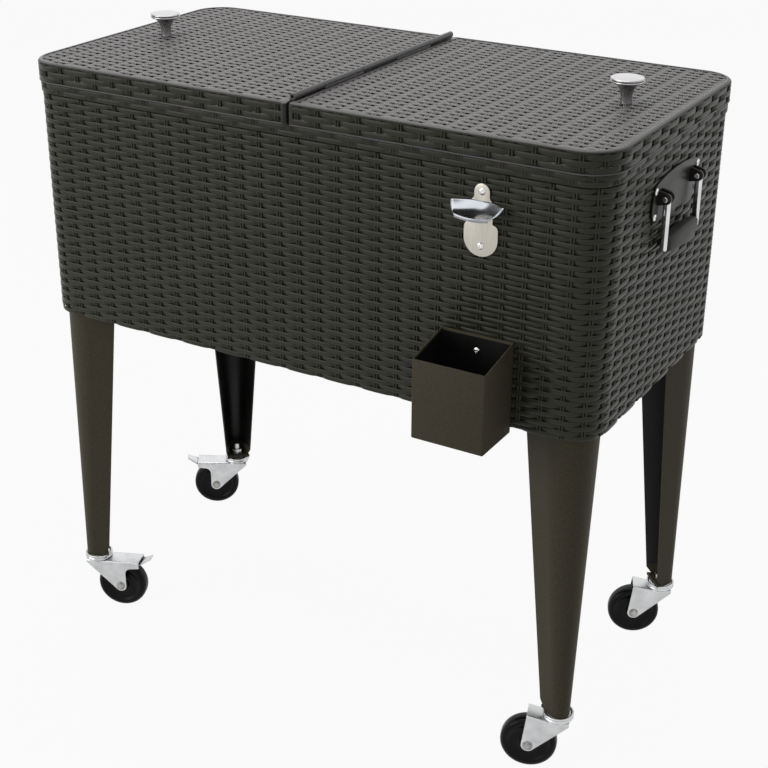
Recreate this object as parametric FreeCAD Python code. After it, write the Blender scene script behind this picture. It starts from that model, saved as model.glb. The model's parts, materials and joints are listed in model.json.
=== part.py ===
import FreeCAD, Part
import math
import os

# Rolling patio cooler: an insulated tub in a moulded wicker shell, two lids hinged at
# the middle, four trough-shaped legs and four swivel casters, two of them braked.
# Millimetres. X runs along the length, the front faces -Y and Z is up from the floor.
# Everything is built about the middle of the shell and is moved level at the end, so
# that the origin lies under the middle of the whole part as it stands.

Vector = FreeCAD.Vector

# Shell and tub
BODY_LENGTH = 794.0
BODY_DEPTH = 400.0
BODY_CORNER = 42.0
BODY_BOTTOM = 473.0
SHELL_HEIGHT = 299.0
SHELL_WALL = 5.0
COLLAR_HEIGHT = 13.0
INSULATION = 30.0
FLOOR_FOAM = 22.0
LINER_WALL = 3.0
FLANGE_INSET = 6.0
PAN_RISE = 12.0
PAN_THICKNESS = 3.0
LEDGE_WIDTH = 8.0
LEDGE_THICKNESS = 4.0
LEDGE_SPAN_X = 560.0
LEDGE_SPAN_Y = 170.0
GASKET_INSET = 9.0
GASKET_WIDTH = 8.0
GASKET_HEIGHT = 4.7
FIT_GAP = 0.5

# Main relief of the wicker pattern: a groove at each column of stakes
STAKE_COLUMNS = 86
STAKE_GROOVE_RADIUS = 5.0
STAKE_GROOVE_DEPTH = 2.0
LID_GROOVE_DEPTH = 1.2

# Lids and their hinge
LID_OVERHANG = 3.0
LID_GAP = 0.5
LID_HEIGHT = 26.5
LID_EDGE = 10.0
LID_WALL = 3.0
LID_LINER = 3.0
LID_SEAT_GAP = 0.3
SEAM_GAP = 4.0
FOAM_GAP = 0.3
BEAD_RADIUS = 4.0
BEAD_PROUD = 1.5
HINGE_TUBE_RADIUS = 4.0
HINGE_ROD_RADIUS = 2.0
HINGE_RUNNING_GAP = 0.05
HINGE_LIFT = 0.5
HINGE_END_INSET = 11.0
HINGE_OUTER_KNUCKLE = 64.0
HINGE_MIDDLE_KNUCKLE = 80.0
HINGE_SIDE_GAP = 0.4
ROD_RECESS = 7.0
LEAF_REACH = 5.0
LEAF_SINK = 0.6
BRIDGE_WIDTH = 60.0
BRIDGE_THICKNESS = 3.5
BRIDGE_LUG = 2.4
BRIDGE_ROOM = 1.0
KNOB_INSET = 70.0
KNOB_HEIGHT = 30.0
KNOB_RADIUS = 19.7
KNOB_STEM_RADIUS = 6.0
KNOB_DISC = 3.4
KNOB_SCREW_RADIUS = 2.0
KNOB_SCREW_DEPTH = 16.0
KNOB_SCREW_HEAD = 4.5
KNOB_SCREW_HEAD_HEIGHT = 2.0

# Fittings on the front wall, placed from the lid's top and the right-hand end
FITTINGS_END_INSET = 146.0
OPENER_TOP_DROP = 54.0
OPENER_HEIGHT = 84.0
OPENER_PLATE_WIDTH = 42.0
OPENER_TAB_WIDTH = 19.0
OPENER_SHEET = 2.0
OPENER_SHOULDER_DROP = 26.0
OPENER_SCREW_INSET_TOP = 9.0
OPENER_SCREW_INSET_BOTTOM = 12.5
HOOD_WIDTH = 68.0
HOOD_LIP_WIDTH = 46.0
HOOD_REACH = 26.0
HOOD_FALL = 14.0
HOOD_LIP_DROP = 8.0
CATCHER_WIDTH = 92.0
CATCHER_DEPTH = 70.0
CATCHER_BACK_HEIGHT = 113.0
CATCHER_FRONT_HEIGHT = 99.0
CATCHER_SHEET = 1.5
CATCHER_BELOW_SHELL = 6.0
CATCHER_SCREW_DROP = 20.0
CATCHER_SCREW_SPACING = 60.0
SCREW_RADIUS = 2.0
SCREW_DEPTH = 14.0
SCREW_HEAD_RADIUS = 4.2
SCREW_HEAD_HEIGHT = 2.2
SCREW_GAP = 0.2

# Carrying handles on the two ends
BRACKET_DROP = 63.0
BRACKET_HEIGHT = 56.0
BRACKET_WIDTH = 152.0
BRACKET_SHEET = 2.5
BRACKET_CORNER = 12.0
BRACKET_ARCH = 9.0
BRACKET_SCREW_INSET_Y = 10.0
BRACKET_SCREW_INSET_Z = 13.0
PIVOT_DROP = 85.5
PIVOT_REACH = 11.0
PIVOT_RADIUS = 3.0
PIVOT_RUNNING_GAP = 0.05
LUG_THICKNESS = 4.0
LUG_RADIUS = 8.0
BAIL_WIDTH = 103.0
BAIL_ARM_THICKNESS = 5.0
BAIL_ARM_WIDTH = 6.5
BAIL_SIDE_GAP = 0.8
BAIL_DROP = 60.5
GRIP_HEIGHT = 28.0
GRIP_THICKNESS = 17.0
GRIP_ROUND = 7.5
GRIP_ROD_RADIUS = 3.0
GRIP_END_GAP = 0.3
GRIP_ROD_GAP = 0.05

# Legs: a rolled trough that faces diagonally outward and tapers to the foot
LEG_SHEET = 2.0
LEG_HALF_ANGLE = 70.5
LEG_TOP_RADIUS = 37.0
LEG_TOP_FLANK_LENGTH = 35.0
LEG_FOOT_RADIUS = 12.5
LEG_FOOT_FLANK_LENGTH = 22.0
LEG_FOOT_SHIFT = 29.0
LEG_INSET_X = 8.4
LEG_INSET_Y = 6.1
LEG_PLATE = 3.0
LEG_FOOT_PLATE = 4.0
LEG_CHAMFER_ALONG = 9.0
LEG_CHAMFER_UP = 14.0
LEG_BOLT_RADIUS = 3.0
LEG_BOLT_GAP = 0.2
LEG_BOLT_HEAD_RADIUS = 5.5
LEG_BOLT_HEAD_HEIGHT = 4.0
LEG_BOLT_INNER_U = -10.0
LEG_BOLT_INNER_V = 25.0
LEG_BOLT_OUTER_U = 15.0

# Drain through the floor
DRAIN_X = -200.0
DRAIN_SHANK_RADIUS = 14.0
DRAIN_SPOUT_RADIUS = 13.2
DRAIN_SPOUT_LENGTH = 22.0
DRAIN_BORE_RADIUS = 8.0
DRAIN_FLANGE_RADIUS = 22.0
DRAIN_FLANGE = 2.0
DRAIN_NUT_HEIGHT = 8.0
DRAIN_NUT_RADIUS = 21.0
DRAIN_GAP = 0.3
PLUG_DEPTH = 14.0
PLUG_CAP_RADIUS = 14.0
PLUG_CAP = 4.0
PLUG_PULL_RADIUS = 5.0
PLUG_PULL_HEIGHT = 12.0

# Casters: each fork trails the way it stands at rest
WHEEL_RADIUS = 36.0
WHEEL_WIDTH = 22.0
WHEEL_ROUND = 3.0
WHEEL_RIM = 8.0
WHEEL_DISH = 4.0
WHEEL_HUB_RADIUS = 10.0
WHEEL_HUB_PROUD = 1.0
WHEEL_SIDE_GAP = 0.5
AXLE_RADIUS = 4.0
AXLE_RUNNING_GAP = 0.06
AXLE_HEAD_RADIUS = 6.5
AXLE_HEAD = 2.0
CASTER_TRAIL = 35.0
CASTER_STEM_SHIFT = 25.0
FORK_SHEET = 2.0
CROWN_RADIUS = 17.0
CROWN_THICKNESS = 2.5
CROWN_OVER_TREAD = 1.5
ARM_START = 14.0
PLAIN_ARM_REACH = 38.0
PLAIN_ARM_RISE = 5.0
BRAKED_ARM_REACH = 64.0
BRAKED_ARM_RISE = 2.0
BRAKED_ARM_DEPTH = 10.0
RACE_RADIUS = 19.5
RACE_HEIGHT = 8.5
RACE_ROUND = 3.0
RACE_GAP = 0.5
KINGPIN_RADIUS = 4.0
KINGPIN_RUNNING_GAP = 0.06
KINGPIN_HEAD_RADIUS = 7.0
KINGPIN_HEAD = 2.5
STEM_RADIUS = 5.0
STEM_LENGTH = 22.0
STEM_GAP = 0.2
STEM_NUT_RADIUS = 8.5
STEM_NUT_HEIGHT = 8.0
LEVER_PIVOT_BACK = 6.0
LEVER_PIVOT_DROP = 2.5
LEVER_BARREL_RADIUS = 2.8
LEVER_PIN_RADIUS = 2.0
LEVER_RUNNING_GAP = 0.05
LEVER_BEND_AHEAD = 7.0
LEVER_BEND_RISE = 1.5
LEVER_TIP_AHEAD = 24.0
LEVER_TIP_RISE = 11.0
LEVER_WIDTH = 21.0
LEVER_TIP_WIDTH = 13.0
LEVER_SHEET = 2.4
LEVER_CHEEK_GAP = 0.5
CORNERS = {
    "front_left": (-1, -1, 20.0),
    "front_right": (1, -1, 199.0),
    "back_left": (-1, 1, 212.0),
    "back_right": (1, 1, 205.0),
}
BRAKED_CORNERS = ("front_left", "back_left")

# Levels and places that follow from the sizes above
SHELL_TOP = BODY_BOTTOM + SHELL_HEIGHT
COLLAR_TOP = SHELL_TOP + COLLAR_HEIGHT
FLANGE_TOP = COLLAR_TOP + LINER_WALL
GASKET_TOP = FLANGE_TOP + GASKET_HEIGHT
LID_BOTTOM = COLLAR_TOP + LID_GAP
LID_TOP = LID_BOTTOM + LID_HEIGHT
LID_LENGTH = BODY_LENGTH + 2 * LID_OVERHANG
LID_DEPTH = BODY_DEPTH + 2 * LID_OVERHANG
LID_CORNER = BODY_CORNER + LID_OVERHANG
LID_LINER_BOTTOM = GASKET_TOP + LID_SEAT_GAP
LID_LINER_TOP = LID_LINER_BOTTOM + LID_LINER
PAN_BOTTOM = BODY_BOTTOM + PAN_RISE
PAN_TOP = PAN_BOTTOM + PAN_THICKNESS
TUB_FLOOR = PAN_TOP + FLOOR_FOAM + LINER_WALL
TUB_LENGTH = BODY_LENGTH - 2 * (SHELL_WALL + INSULATION + LINER_WALL)
TUB_DEPTH = BODY_DEPTH - 2 * (SHELL_WALL + INSULATION + LINER_WALL)
LINER_LENGTH = TUB_LENGTH + 2 * LINER_WALL
LINER_DEPTH = TUB_DEPTH + 2 * LINER_WALL
GASKET_LENGTH = BODY_LENGTH - 2 * (FLANGE_INSET + GASKET_INSET)
GASKET_DEPTH = BODY_DEPTH - 2 * (FLANGE_INSET + GASKET_INSET)
GASKET_CORNER = BODY_CORNER - FLANGE_INSET - GASKET_INSET
FRONT = -BODY_DEPTH / 2
END = BODY_LENGTH / 2
FLAT_X = END - BODY_CORNER
FLAT_Y = BODY_DEPTH / 2 - BODY_CORNER
CORNER_ARC = BODY_CORNER * math.pi / 2
STAKE_PITCH = 4 * (FLAT_X + CORNER_ARC + FLAT_Y) / STAKE_COLUMNS
OPENER_X = END - FITTINGS_END_INSET
CATCHER_X = END - FITTINGS_END_INSET
HINGE_Z = LID_TOP + HINGE_LIFT + HINGE_TUBE_RADIUS
HINGE_END = LID_DEPTH / 2 - HINGE_END_INSET
PIVOT_Z = LID_TOP - PIVOT_DROP
PIVOT_X = END + PIVOT_REACH
GRIP_Z = PIVOT_Z - BAIL_DROP
LEG_TOP = PAN_BOTTOM
LEG_X = END - LEG_INSET_X - LEG_TOP_RADIUS
LEG_Y = BODY_DEPTH / 2 - LEG_INSET_Y - LEG_TOP_RADIUS
STEM_X = LEG_X + CASTER_STEM_SHIFT * math.sqrt(0.5)
STEM_Y = LEG_Y + CASTER_STEM_SHIFT * math.sqrt(0.5)
CROWN_BOTTOM = 2 * WHEEL_RADIUS + CROWN_OVER_TREAD
CROWN_TOP = CROWN_BOTTOM + CROWN_THICKNESS
RACE_BOTTOM = CROWN_TOP + RACE_GAP
LEG_BOTTOM = RACE_BOTTOM + RACE_HEIGHT
CHEEK_INSIDE = WHEEL_WIDTH / 2 + WHEEL_HUB_PROUD + WHEEL_SIDE_GAP
CHEEK_OUTSIDE = CHEEK_INSIDE + FORK_SHEET
LEVER_U = BRAKED_ARM_REACH - LEVER_PIVOT_BACK
LEVER_Z = CROWN_BOTTOM - LEVER_PIVOT_DROP
DRAIN_NUT_BOTTOM = PAN_BOTTOM - DRAIN_NUT_HEIGHT
DRAIN_SPOUT_BOTTOM = DRAIN_NUT_BOTTOM - DRAIN_SPOUT_LENGTH
DRAIN_TOP = TUB_FLOOR + DRAIN_FLANGE


def block(x0, x1, y0, y1, z0, z1):
    return Part.makeBox(x1 - x0, y1 - y0, z1 - z0, Vector(x0, y0, z0))


def rod(radius, start, end):
    axis = end.sub(start)
    return Part.makeCylinder(radius, axis.Length, start, axis)


def upright(radius, x, y, z0, z1):
    return rod(radius, Vector(x, y, z0), Vector(x, y, z1))


def prism(points, direction):
    face = Part.Face(Part.makePolygon(points + [points[0]]))
    return face.extrude(direction)


def hexagon(radius, x, y, z0, z1):
    points = []
    for step in range(6):
        angle = math.radians(60 * step)
        points.append(Vector(x + radius * math.cos(angle), y + radius * math.sin(angle), z0))
    return prism(points, Vector(0, 0, z1 - z0))


def turned(profile, x, y):
    points = [Vector(x + radius, y, z) for radius, z in profile]
    face = Part.Face(Part.makePolygon(points + [points[0]]))
    return face.revolve(Vector(x, y, 0), Vector(0, 0, 1), 360)


def plan_wire(length, depth, radius, z):
    half_x = length / 2
    half_y = depth / 2
    cut = radius * (1 - math.sqrt(0.5))
    runs = [
        (Vector(-half_x + radius, -half_y, z), Vector(half_x - radius, -half_y, z)),
        (Vector(half_x, -half_y + radius, z), Vector(half_x, half_y - radius, z)),
        (Vector(half_x - radius, half_y, z), Vector(-half_x + radius, half_y, z)),
        (Vector(-half_x, half_y - radius, z), Vector(-half_x, -half_y + radius, z)),
    ]
    turns = [
        Vector(half_x - cut, -half_y + cut, z),
        Vector(half_x - cut, half_y - cut, z),
        Vector(-half_x + cut, half_y - cut, z),
        Vector(-half_x + cut, -half_y + cut, z),
    ]
    edges = []
    for index, (start, end) in enumerate(runs):
        following = runs[(index + 1) % len(runs)][0]
        edges.append(Part.LineSegment(start, end).toShape())
        edges.append(Part.Arc(end, turns[index], following).toShape())
    return Part.Wire(edges)


def plan_solid(length, depth, radius, z0, z1):
    return Part.Face(plan_wire(length, depth, radius, z0)).extrude(Vector(0, 0, z1 - z0))


def plan_ring(length, depth, radius, width, z0, z1):
    outside = plan_solid(length, depth, radius, z0, z1)
    inside = plan_solid(length - 2 * width, depth - 2 * width, radius - width, z0, z1)
    return outside.cut(inside)


def union(shapes):
    return shapes[0].multiFuse(shapes[1:]).removeSplitter()


def shell_inside(z0, z1, gap):
    inset = SHELL_WALL + gap
    return plan_solid(BODY_LENGTH - 2 * inset, BODY_DEPTH - 2 * inset, BODY_CORNER - inset, z0, z1)


def stake_grooves():
    """Upright grooves at equal steps round the shell, counted from the middle of the front."""
    arm = BODY_CORNER + STAKE_GROOVE_RADIUS - STAKE_GROOVE_DEPTH
    places = set()
    for column in range(STAKE_COLUMNS // 4 + 1):
        way = column * STAKE_PITCH
        turn = min(max(way - FLAT_X, 0) / BODY_CORNER, math.pi / 2)
        x = min(way, FLAT_X) + arm * math.sin(turn)
        y = FLAT_Y - max(way - FLAT_X - CORNER_ARC, 0) + arm * math.cos(turn)
        places.update([(x, y), (x, -y), (-x, y), (-x, -y)])
    return [upright(STAKE_GROOVE_RADIUS, x, y, BODY_BOTTOM, SHELL_TOP) for x, y in sorted(places)]


def outer_shell():
    wall = plan_ring(BODY_LENGTH, BODY_DEPTH, BODY_CORNER, SHELL_WALL, BODY_BOTTOM, SHELL_TOP)
    inside_x = END - SHELL_WALL
    inside_y = BODY_DEPTH / 2 - SHELL_WALL
    low = PAN_BOTTOM - LEDGE_THICKNESS
    bite = SHELL_WALL / 2
    ledges = []
    for side in (-1, 1):
        y_near, y_far = sorted((side * (inside_y - LEDGE_WIDTH), side * (inside_y + bite)))
        x_near, x_far = sorted((side * (inside_x - LEDGE_WIDTH), side * (inside_x + bite)))
        ledges.append(block(-LEDGE_SPAN_X / 2, LEDGE_SPAN_X / 2, y_near, y_far, low, PAN_BOTTOM))
        ledges.append(block(x_near, x_far, -LEDGE_SPAN_Y / 2, LEDGE_SPAN_Y / 2, low, PAN_BOTTOM))
    shell = union([wall] + ledges)
    for x, z in opener_screw_places():
        shell = shell.cut(screw_hole(x, z))
    for x, z in catcher_screw_places():
        shell = shell.cut(screw_hole(x, z))
    for side in (-1, 1):
        for y, z in bracket_screw_places():
            shell = shell.cut(bracket_screw_hole(side, y, z))
    return shell.cut(stake_grooves())


def rim_collar():
    outside = plan_solid(BODY_LENGTH, BODY_DEPTH, BODY_CORNER, SHELL_TOP, COLLAR_TOP)
    return outside.cut(liner_outside(SHELL_TOP, COLLAR_TOP, FIT_GAP))


def liner_outside(z0, z1, gap):
    half_x = LINER_LENGTH / 2 + gap
    half_y = LINER_DEPTH / 2 + gap
    return block(-half_x, half_x, -half_y, half_y, z0, z1)


def insulation_body():
    foam = shell_inside(PAN_TOP, SHELL_TOP, FIT_GAP)
    foam = foam.cut(liner_outside(TUB_FLOOR - LINER_WALL, SHELL_TOP, FIT_GAP))
    foam = foam.cut(upright(DRAIN_SHANK_RADIUS + FIT_GAP, DRAIN_X, 0, PAN_TOP, TUB_FLOOR))
    pocket = LEG_BOLT_HEAD_RADIUS + FIT_GAP
    for x, y in leg_bolt_places():
        foam = foam.cut(upright(pocket, x, y, PAN_TOP, PAN_TOP + LEG_BOLT_HEAD_HEIGHT + FIT_GAP))
    for x, z in opener_screw_places() + catcher_screw_places():
        foam = foam.cut(screw_room(x, z))
    for side in (-1, 1):
        for y, z in bracket_screw_places():
            foam = foam.cut(bracket_screw_room(side, y, z))
    return foam


def round_the_tub(out_x, out_y, z0, z1):
    """Two long strips and two short ones between them, from the tub's edge out to out_x and out_y."""
    in_x = TUB_LENGTH / 2
    in_y = TUB_DEPTH / 2
    return [
        block(-out_x, out_x, -out_y, -in_y, z0, z1),
        block(-out_x, out_x, in_y, out_y, z0, z1),
        block(-out_x, -in_x, -in_y, in_y, z0, z1),
        block(in_x, out_x, -in_y, in_y, z0, z1),
    ]


def inner_liner():
    return Part.makeCompound(round_the_tub(LINER_LENGTH / 2, LINER_DEPTH / 2, TUB_FLOOR, COLLAR_TOP))


def liner_floor():
    under = TUB_FLOOR - LINER_WALL
    floor = liner_outside(under, TUB_FLOOR, 0)
    return floor.cut(upright(DRAIN_SHANK_RADIUS + DRAIN_GAP, DRAIN_X, 0, under, TUB_FLOOR))


def rim_flange():
    length = BODY_LENGTH - 2 * FLANGE_INSET
    depth = BODY_DEPTH - 2 * FLANGE_INSET
    outline = plan_solid(length, depth, BODY_CORNER - FLANGE_INSET, COLLAR_TOP, FLANGE_TOP)
    strips = round_the_tub(length / 2, depth / 2, COLLAR_TOP, FLANGE_TOP)
    return Part.makeCompound([strip.common(outline).Solids[0] for strip in strips])


def base_pan():
    pan = shell_inside(PAN_BOTTOM, PAN_TOP, FIT_GAP)
    pan = pan.cut(upright(DRAIN_SHANK_RADIUS + DRAIN_GAP, DRAIN_X, 0, PAN_BOTTOM, PAN_TOP))
    for x, y in leg_bolt_places():
        pan = pan.cut(upright(LEG_BOLT_RADIUS + LEG_BOLT_GAP, x, y, PAN_BOTTOM, PAN_TOP))
    return pan


def rim_gasket():
    return plan_ring(GASKET_LENGTH, GASKET_DEPTH, GASKET_CORNER, GASKET_WIDTH, FLANGE_TOP, GASKET_TOP)


def knuckle(y0, y1):
    tube = rod(HINGE_TUBE_RADIUS, Vector(0, y0, HINGE_Z), Vector(0, y1, HINGE_Z))
    return tube.cut(knuckle_bore(y0, y1))


def knuckle_bore(y0, y1):
    radius = HINGE_ROD_RADIUS + HINGE_RUNNING_GAP
    return rod(radius, Vector(0, y0, HINGE_Z), Vector(0, y1, HINGE_Z))


def knuckle_spans():
    gap = HINGE_SIDE_GAP / 2
    outer = HINGE_END - HINGE_OUTER_KNUCKLE
    middle = HINGE_MIDDLE_KNUCKLE / 2
    return {
        "left": [(-HINGE_END, -outer - gap), (outer + gap, HINGE_END)],
        "right": [(-outer + gap, -middle - gap), (middle + gap, outer - gap)],
        "fixed": [(-middle + gap, middle - gap)],
    }


def centre_bridge():
    half_y = GASKET_DEPTH / 2 - GASKET_WIDTH - FIT_GAP
    top = FLANGE_TOP + BRIDGE_THICKNESS
    plate = block(-BRIDGE_WIDTH / 2, BRIDGE_WIDTH / 2, -half_y, half_y, FLANGE_TOP, top)
    pieces = [plate]
    bores = []
    for y0, y1 in knuckle_spans()["fixed"]:
        pieces.append(block(-BRIDGE_LUG / 2, BRIDGE_LUG / 2, y0, y1, top, HINGE_Z))
        pieces.append(knuckle(y0, y1))
        bores.append(knuckle_bore(y0, y1))
    bridge = union(pieces)
    for bore in bores:
        bridge = bridge.cut(bore)
    return bridge


def hinge_rod():
    end = HINGE_END - ROD_RECESS
    return rod(HINGE_ROD_RADIUS, Vector(0, -end, HINGE_Z), Vector(0, end, HINGE_Z))


def half_space(side, inset):
    near = side * (SEAM_GAP / 2 + inset)
    far = side * LID_LENGTH
    x0, x1 = sorted((near, far))
    return block(x0, x1, -LID_DEPTH, LID_DEPTH, LID_BOTTOM - LID_HEIGHT, LID_TOP + LID_HEIGHT)


def top_edges(shape, z):
    edges = []
    for edge in shape.Edges:
        if abs(edge.BoundBox.ZMin - z) < 1e-6 and abs(edge.BoundBox.ZMax - z) < 1e-6:
            edges.append(edge)
    return edges


def lid_grooves(side):
    """Grooves across the lid's top in line with the shell's, ending at the smooth rim."""
    z = LID_TOP + STAKE_GROOVE_RADIUS - LID_GROOVE_DEPTH
    edge = 2 * LID_EDGE
    field = plan_solid(LID_LENGTH - edge, LID_DEPTH - edge, LID_CORNER - LID_EDGE, LID_BOTTOM, z)
    columns = int((LID_LENGTH / 2 - edge) / STAKE_PITCH)
    grooves = []
    for column in range(1, columns + 1):
        x = side * column * STAKE_PITCH
        groove = rod(STAKE_GROOVE_RADIUS, Vector(x, -LID_DEPTH / 2, z), Vector(x, LID_DEPTH / 2, z))
        grooves.append(groove.common(field))
    return grooves


def lid_shell(side):
    outside = plan_solid(LID_LENGTH, LID_DEPTH, LID_CORNER, LID_BOTTOM, LID_TOP)
    outside = outside.makeFillet(LID_EDGE, top_edges(outside, LID_TOP))
    roof = LID_TOP - LID_WALL
    hollow = plan_solid(
        LID_LENGTH - 2 * LID_WALL, LID_DEPTH - 2 * LID_WALL, LID_CORNER - LID_WALL, LID_BOTTOM, roof
    )
    hollow = hollow.makeFillet(LID_EDGE - LID_WALL, top_edges(hollow, roof))
    lid = outside.common(half_space(side, 0)).cut(hollow.common(half_space(side, LID_WALL)))
    room_x = BRIDGE_WIDTH / 2 + BRIDGE_ROOM + LID_WALL
    room_y = LID_DEPTH / 2 - LID_WALL
    room_top = LID_LINER_BOTTOM
    lid = lid.cut(block(-room_x, room_x, -room_y, room_y, LID_BOTTOM, room_top))
    pieces = [lid]
    name = "left" if side < 0 else "right"
    leaf_near, leaf_far = sorted((side * SEAM_GAP / 2, side * (SEAM_GAP / 2 + LEAF_REACH)))
    for y0, y1 in knuckle_spans()[name]:
        pieces.append(block(leaf_near, leaf_far, y0, y1, LID_TOP - LEAF_SINK, HINGE_Z))
        pieces.append(knuckle(y0, y1))
    if side < 0:
        bead_x = -SEAM_GAP / 2 - BEAD_RADIUS
        bead_y = LID_DEPTH / 2 + BEAD_PROUD - BEAD_RADIUS
        for end in (-1, 1):
            bead = upright(BEAD_RADIUS, bead_x, end * bead_y, LID_BOTTOM, LID_TOP - LEAF_SINK)
            pieces.append(bead)
    lid = union(pieces)
    for y0, y1 in knuckle_spans()[name]:
        lid = lid.cut(knuckle_bore(y0, y1))
    knob_x = side * knob_place()
    lid = lid.cut(upright(KNOB_SCREW_RADIUS + SCREW_GAP, knob_x, 0, roof, LID_TOP))
    return lid.cut(lid_grooves(side))


def knob_place():
    return LID_LENGTH / 2 - KNOB_INSET


def lid_liner(side):
    inset = LID_WALL + FOAM_GAP
    plate = plan_solid(
        LID_LENGTH - 2 * inset, LID_DEPTH - 2 * inset, LID_CORNER - inset, LID_LINER_BOTTOM, LID_LINER_TOP
    )
    plate = plate.common(half_space(side, LID_WALL + FOAM_GAP))
    bead_room = BEAD_RADIUS + FOAM_GAP
    bead_x = -SEAM_GAP / 2 - BEAD_RADIUS
    bead_y = LID_DEPTH / 2 + BEAD_PROUD - BEAD_RADIUS
    if side < 0:
        for end in (-1, 1):
            plate = plate.cut(upright(bead_room, bead_x, end * bead_y, LID_LINER_BOTTOM, LID_LINER_TOP))
    return plate.cut(knob_screw_room(side, LID_LINER_BOTTOM, LID_LINER_TOP))


def lid_foam(side):
    inset = LID_EDGE + FOAM_GAP
    top = LID_TOP - LID_WALL - FOAM_GAP
    foam = plan_solid(LID_LENGTH - 2 * inset, LID_DEPTH - 2 * inset, LID_CORNER - inset, LID_LINER_TOP, top)
    foam = foam.common(half_space(side, LID_WALL + FOAM_GAP))
    return foam.cut(knob_screw_room(side, LID_LINER_TOP, top))


def knob_screw_room(side, z0, z1):
    return upright(KNOB_SCREW_HEAD + SCREW_GAP, side * knob_place(), 0, z0, z1)


def knob(side):
    disc_low = LID_TOP + KNOB_HEIGHT - KNOB_DISC
    top = LID_TOP + KNOB_HEIGHT
    flare = (KNOB_RADIUS - KNOB_STEM_RADIUS) / 2
    waist = LID_TOP + KNOB_HEIGHT / 2
    bore = KNOB_SCREW_RADIUS + SCREW_GAP
    depth = LID_TOP + KNOB_SCREW_DEPTH
    crown = KNOB_DISC / 3
    profile = [
        (bore, LID_TOP),
        (KNOB_STEM_RADIUS + crown, LID_TOP),
        (KNOB_STEM_RADIUS, LID_TOP + crown),
        (KNOB_STEM_RADIUS, waist),
        (KNOB_STEM_RADIUS + flare / 2, (waist + disc_low) / 2),
        (KNOB_STEM_RADIUS + flare, disc_low - crown),
        (KNOB_RADIUS - crown, disc_low),
        (KNOB_RADIUS, disc_low + crown),
        (KNOB_RADIUS, top - crown),
        (KNOB_RADIUS - crown, top),
        (0, top),
        (0, depth),
        (bore, depth),
    ]
    return turned(profile, side * knob_place(), 0)


def knob_screw(side):
    x = side * knob_place()
    roof = LID_TOP - LID_WALL
    shank = upright(KNOB_SCREW_RADIUS, x, 0, roof, LID_TOP + KNOB_SCREW_DEPTH - SCREW_GAP)
    head = upright(KNOB_SCREW_HEAD, x, 0, roof - KNOB_SCREW_HEAD_HEIGHT, roof)
    return union([shank, head])


def opener_screw_places():
    top = LID_TOP - OPENER_TOP_DROP - OPENER_SCREW_INSET_TOP
    bottom = LID_TOP - OPENER_TOP_DROP - OPENER_HEIGHT + OPENER_SCREW_INSET_BOTTOM
    return [(OPENER_X, top), (OPENER_X, bottom)]


def catcher_top():
    return BODY_BOTTOM - CATCHER_BELOW_SHELL + CATCHER_BACK_HEIGHT


def catcher_screw_places():
    high = catcher_top() - CATCHER_SCREW_DROP
    return [(CATCHER_X, high), (CATCHER_X, high - CATCHER_SCREW_SPACING)]


def screw_hole(x, z):
    radius = SCREW_RADIUS + SCREW_GAP
    return rod(radius, Vector(x, FRONT, z), Vector(x, FRONT + SHELL_WALL, z))


def screw_room(x, z):
    radius = SCREW_RADIUS + FIT_GAP
    return rod(radius, Vector(x, FRONT, z), Vector(x, FRONT + SCREW_DEPTH + FIT_GAP, z))


def front_screw(x, z, seat):
    head = rod(SCREW_HEAD_RADIUS, Vector(x, seat, z), Vector(x, seat - SCREW_HEAD_HEIGHT, z))
    outer = [edge for edge in head.Edges if edge.CenterOfMass.y < seat - SCREW_GAP]
    head = head.makeFillet(SCREW_HEAD_HEIGHT / 2, outer)
    shank = rod(SCREW_RADIUS, Vector(x, seat, z), Vector(x, FRONT + SCREW_DEPTH, z))
    return union([head, shank])


def bottle_opener():
    face = FRONT - OPENER_SHEET
    out = Vector(0, -OPENER_SHEET, 0)
    top = LID_TOP - OPENER_TOP_DROP
    bottom = top - OPENER_HEIGHT
    shoulder = top - OPENER_SHOULDER_DROP
    plate_r = OPENER_PLATE_WIDTH / 2
    tab_r = OPENER_TAB_WIDTH / 2
    pieces = [
        block(OPENER_X - plate_r, OPENER_X + plate_r, face, FRONT, bottom + plate_r, shoulder),
        rod(plate_r, Vector(OPENER_X, FRONT, bottom + plate_r), Vector(OPENER_X, face, bottom + plate_r)),
        block(OPENER_X - tab_r, OPENER_X + tab_r, face, FRONT, shoulder, top - tab_r),
        rod(tab_r, Vector(OPENER_X, FRONT, top - tab_r), Vector(OPENER_X, face, top - tab_r)),
    ]
    lip = FRONT - HOOD_REACH
    sheet = OPENER_SHEET
    low = shoulder - HOOD_FALL
    section = [
        Vector(0, FRONT, shoulder + sheet),
        Vector(0, FRONT, shoulder - sheet),
        Vector(0, lip + sheet, low),
        Vector(0, lip + sheet, low - HOOD_LIP_DROP),
        Vector(0, lip, low - HOOD_LIP_DROP),
        Vector(0, lip, low + sheet),
    ]
    half = HOOD_WIDTH / 2
    hood = prism([point + Vector(OPENER_X - half, 0, 0) for point in section], Vector(HOOD_WIDTH, 0, 0))
    lip_half = HOOD_LIP_WIDTH / 2
    plan = [
        Vector(OPENER_X - half, FRONT, bottom),
        Vector(OPENER_X - half, face, bottom),
        Vector(OPENER_X - lip_half, lip, bottom),
        Vector(OPENER_X + lip_half, lip, bottom),
        Vector(OPENER_X + half, face, bottom),
        Vector(OPENER_X + half, FRONT, bottom),
    ]
    hood = hood.common(prism(plan, Vector(0, 0, OPENER_HEIGHT)))
    opener = union(pieces + [hood])
    for x, z in opener_screw_places():
        hole = rod(SCREW_RADIUS + SCREW_GAP, Vector(x, FRONT, z), Vector(x, FRONT, z) + out)
        opener = opener.cut(hole)
    return opener


def opener_screws():
    seat = FRONT - OPENER_SHEET
    return Part.makeCompound([front_screw(x, z, seat) for x, z in opener_screw_places()])


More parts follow.
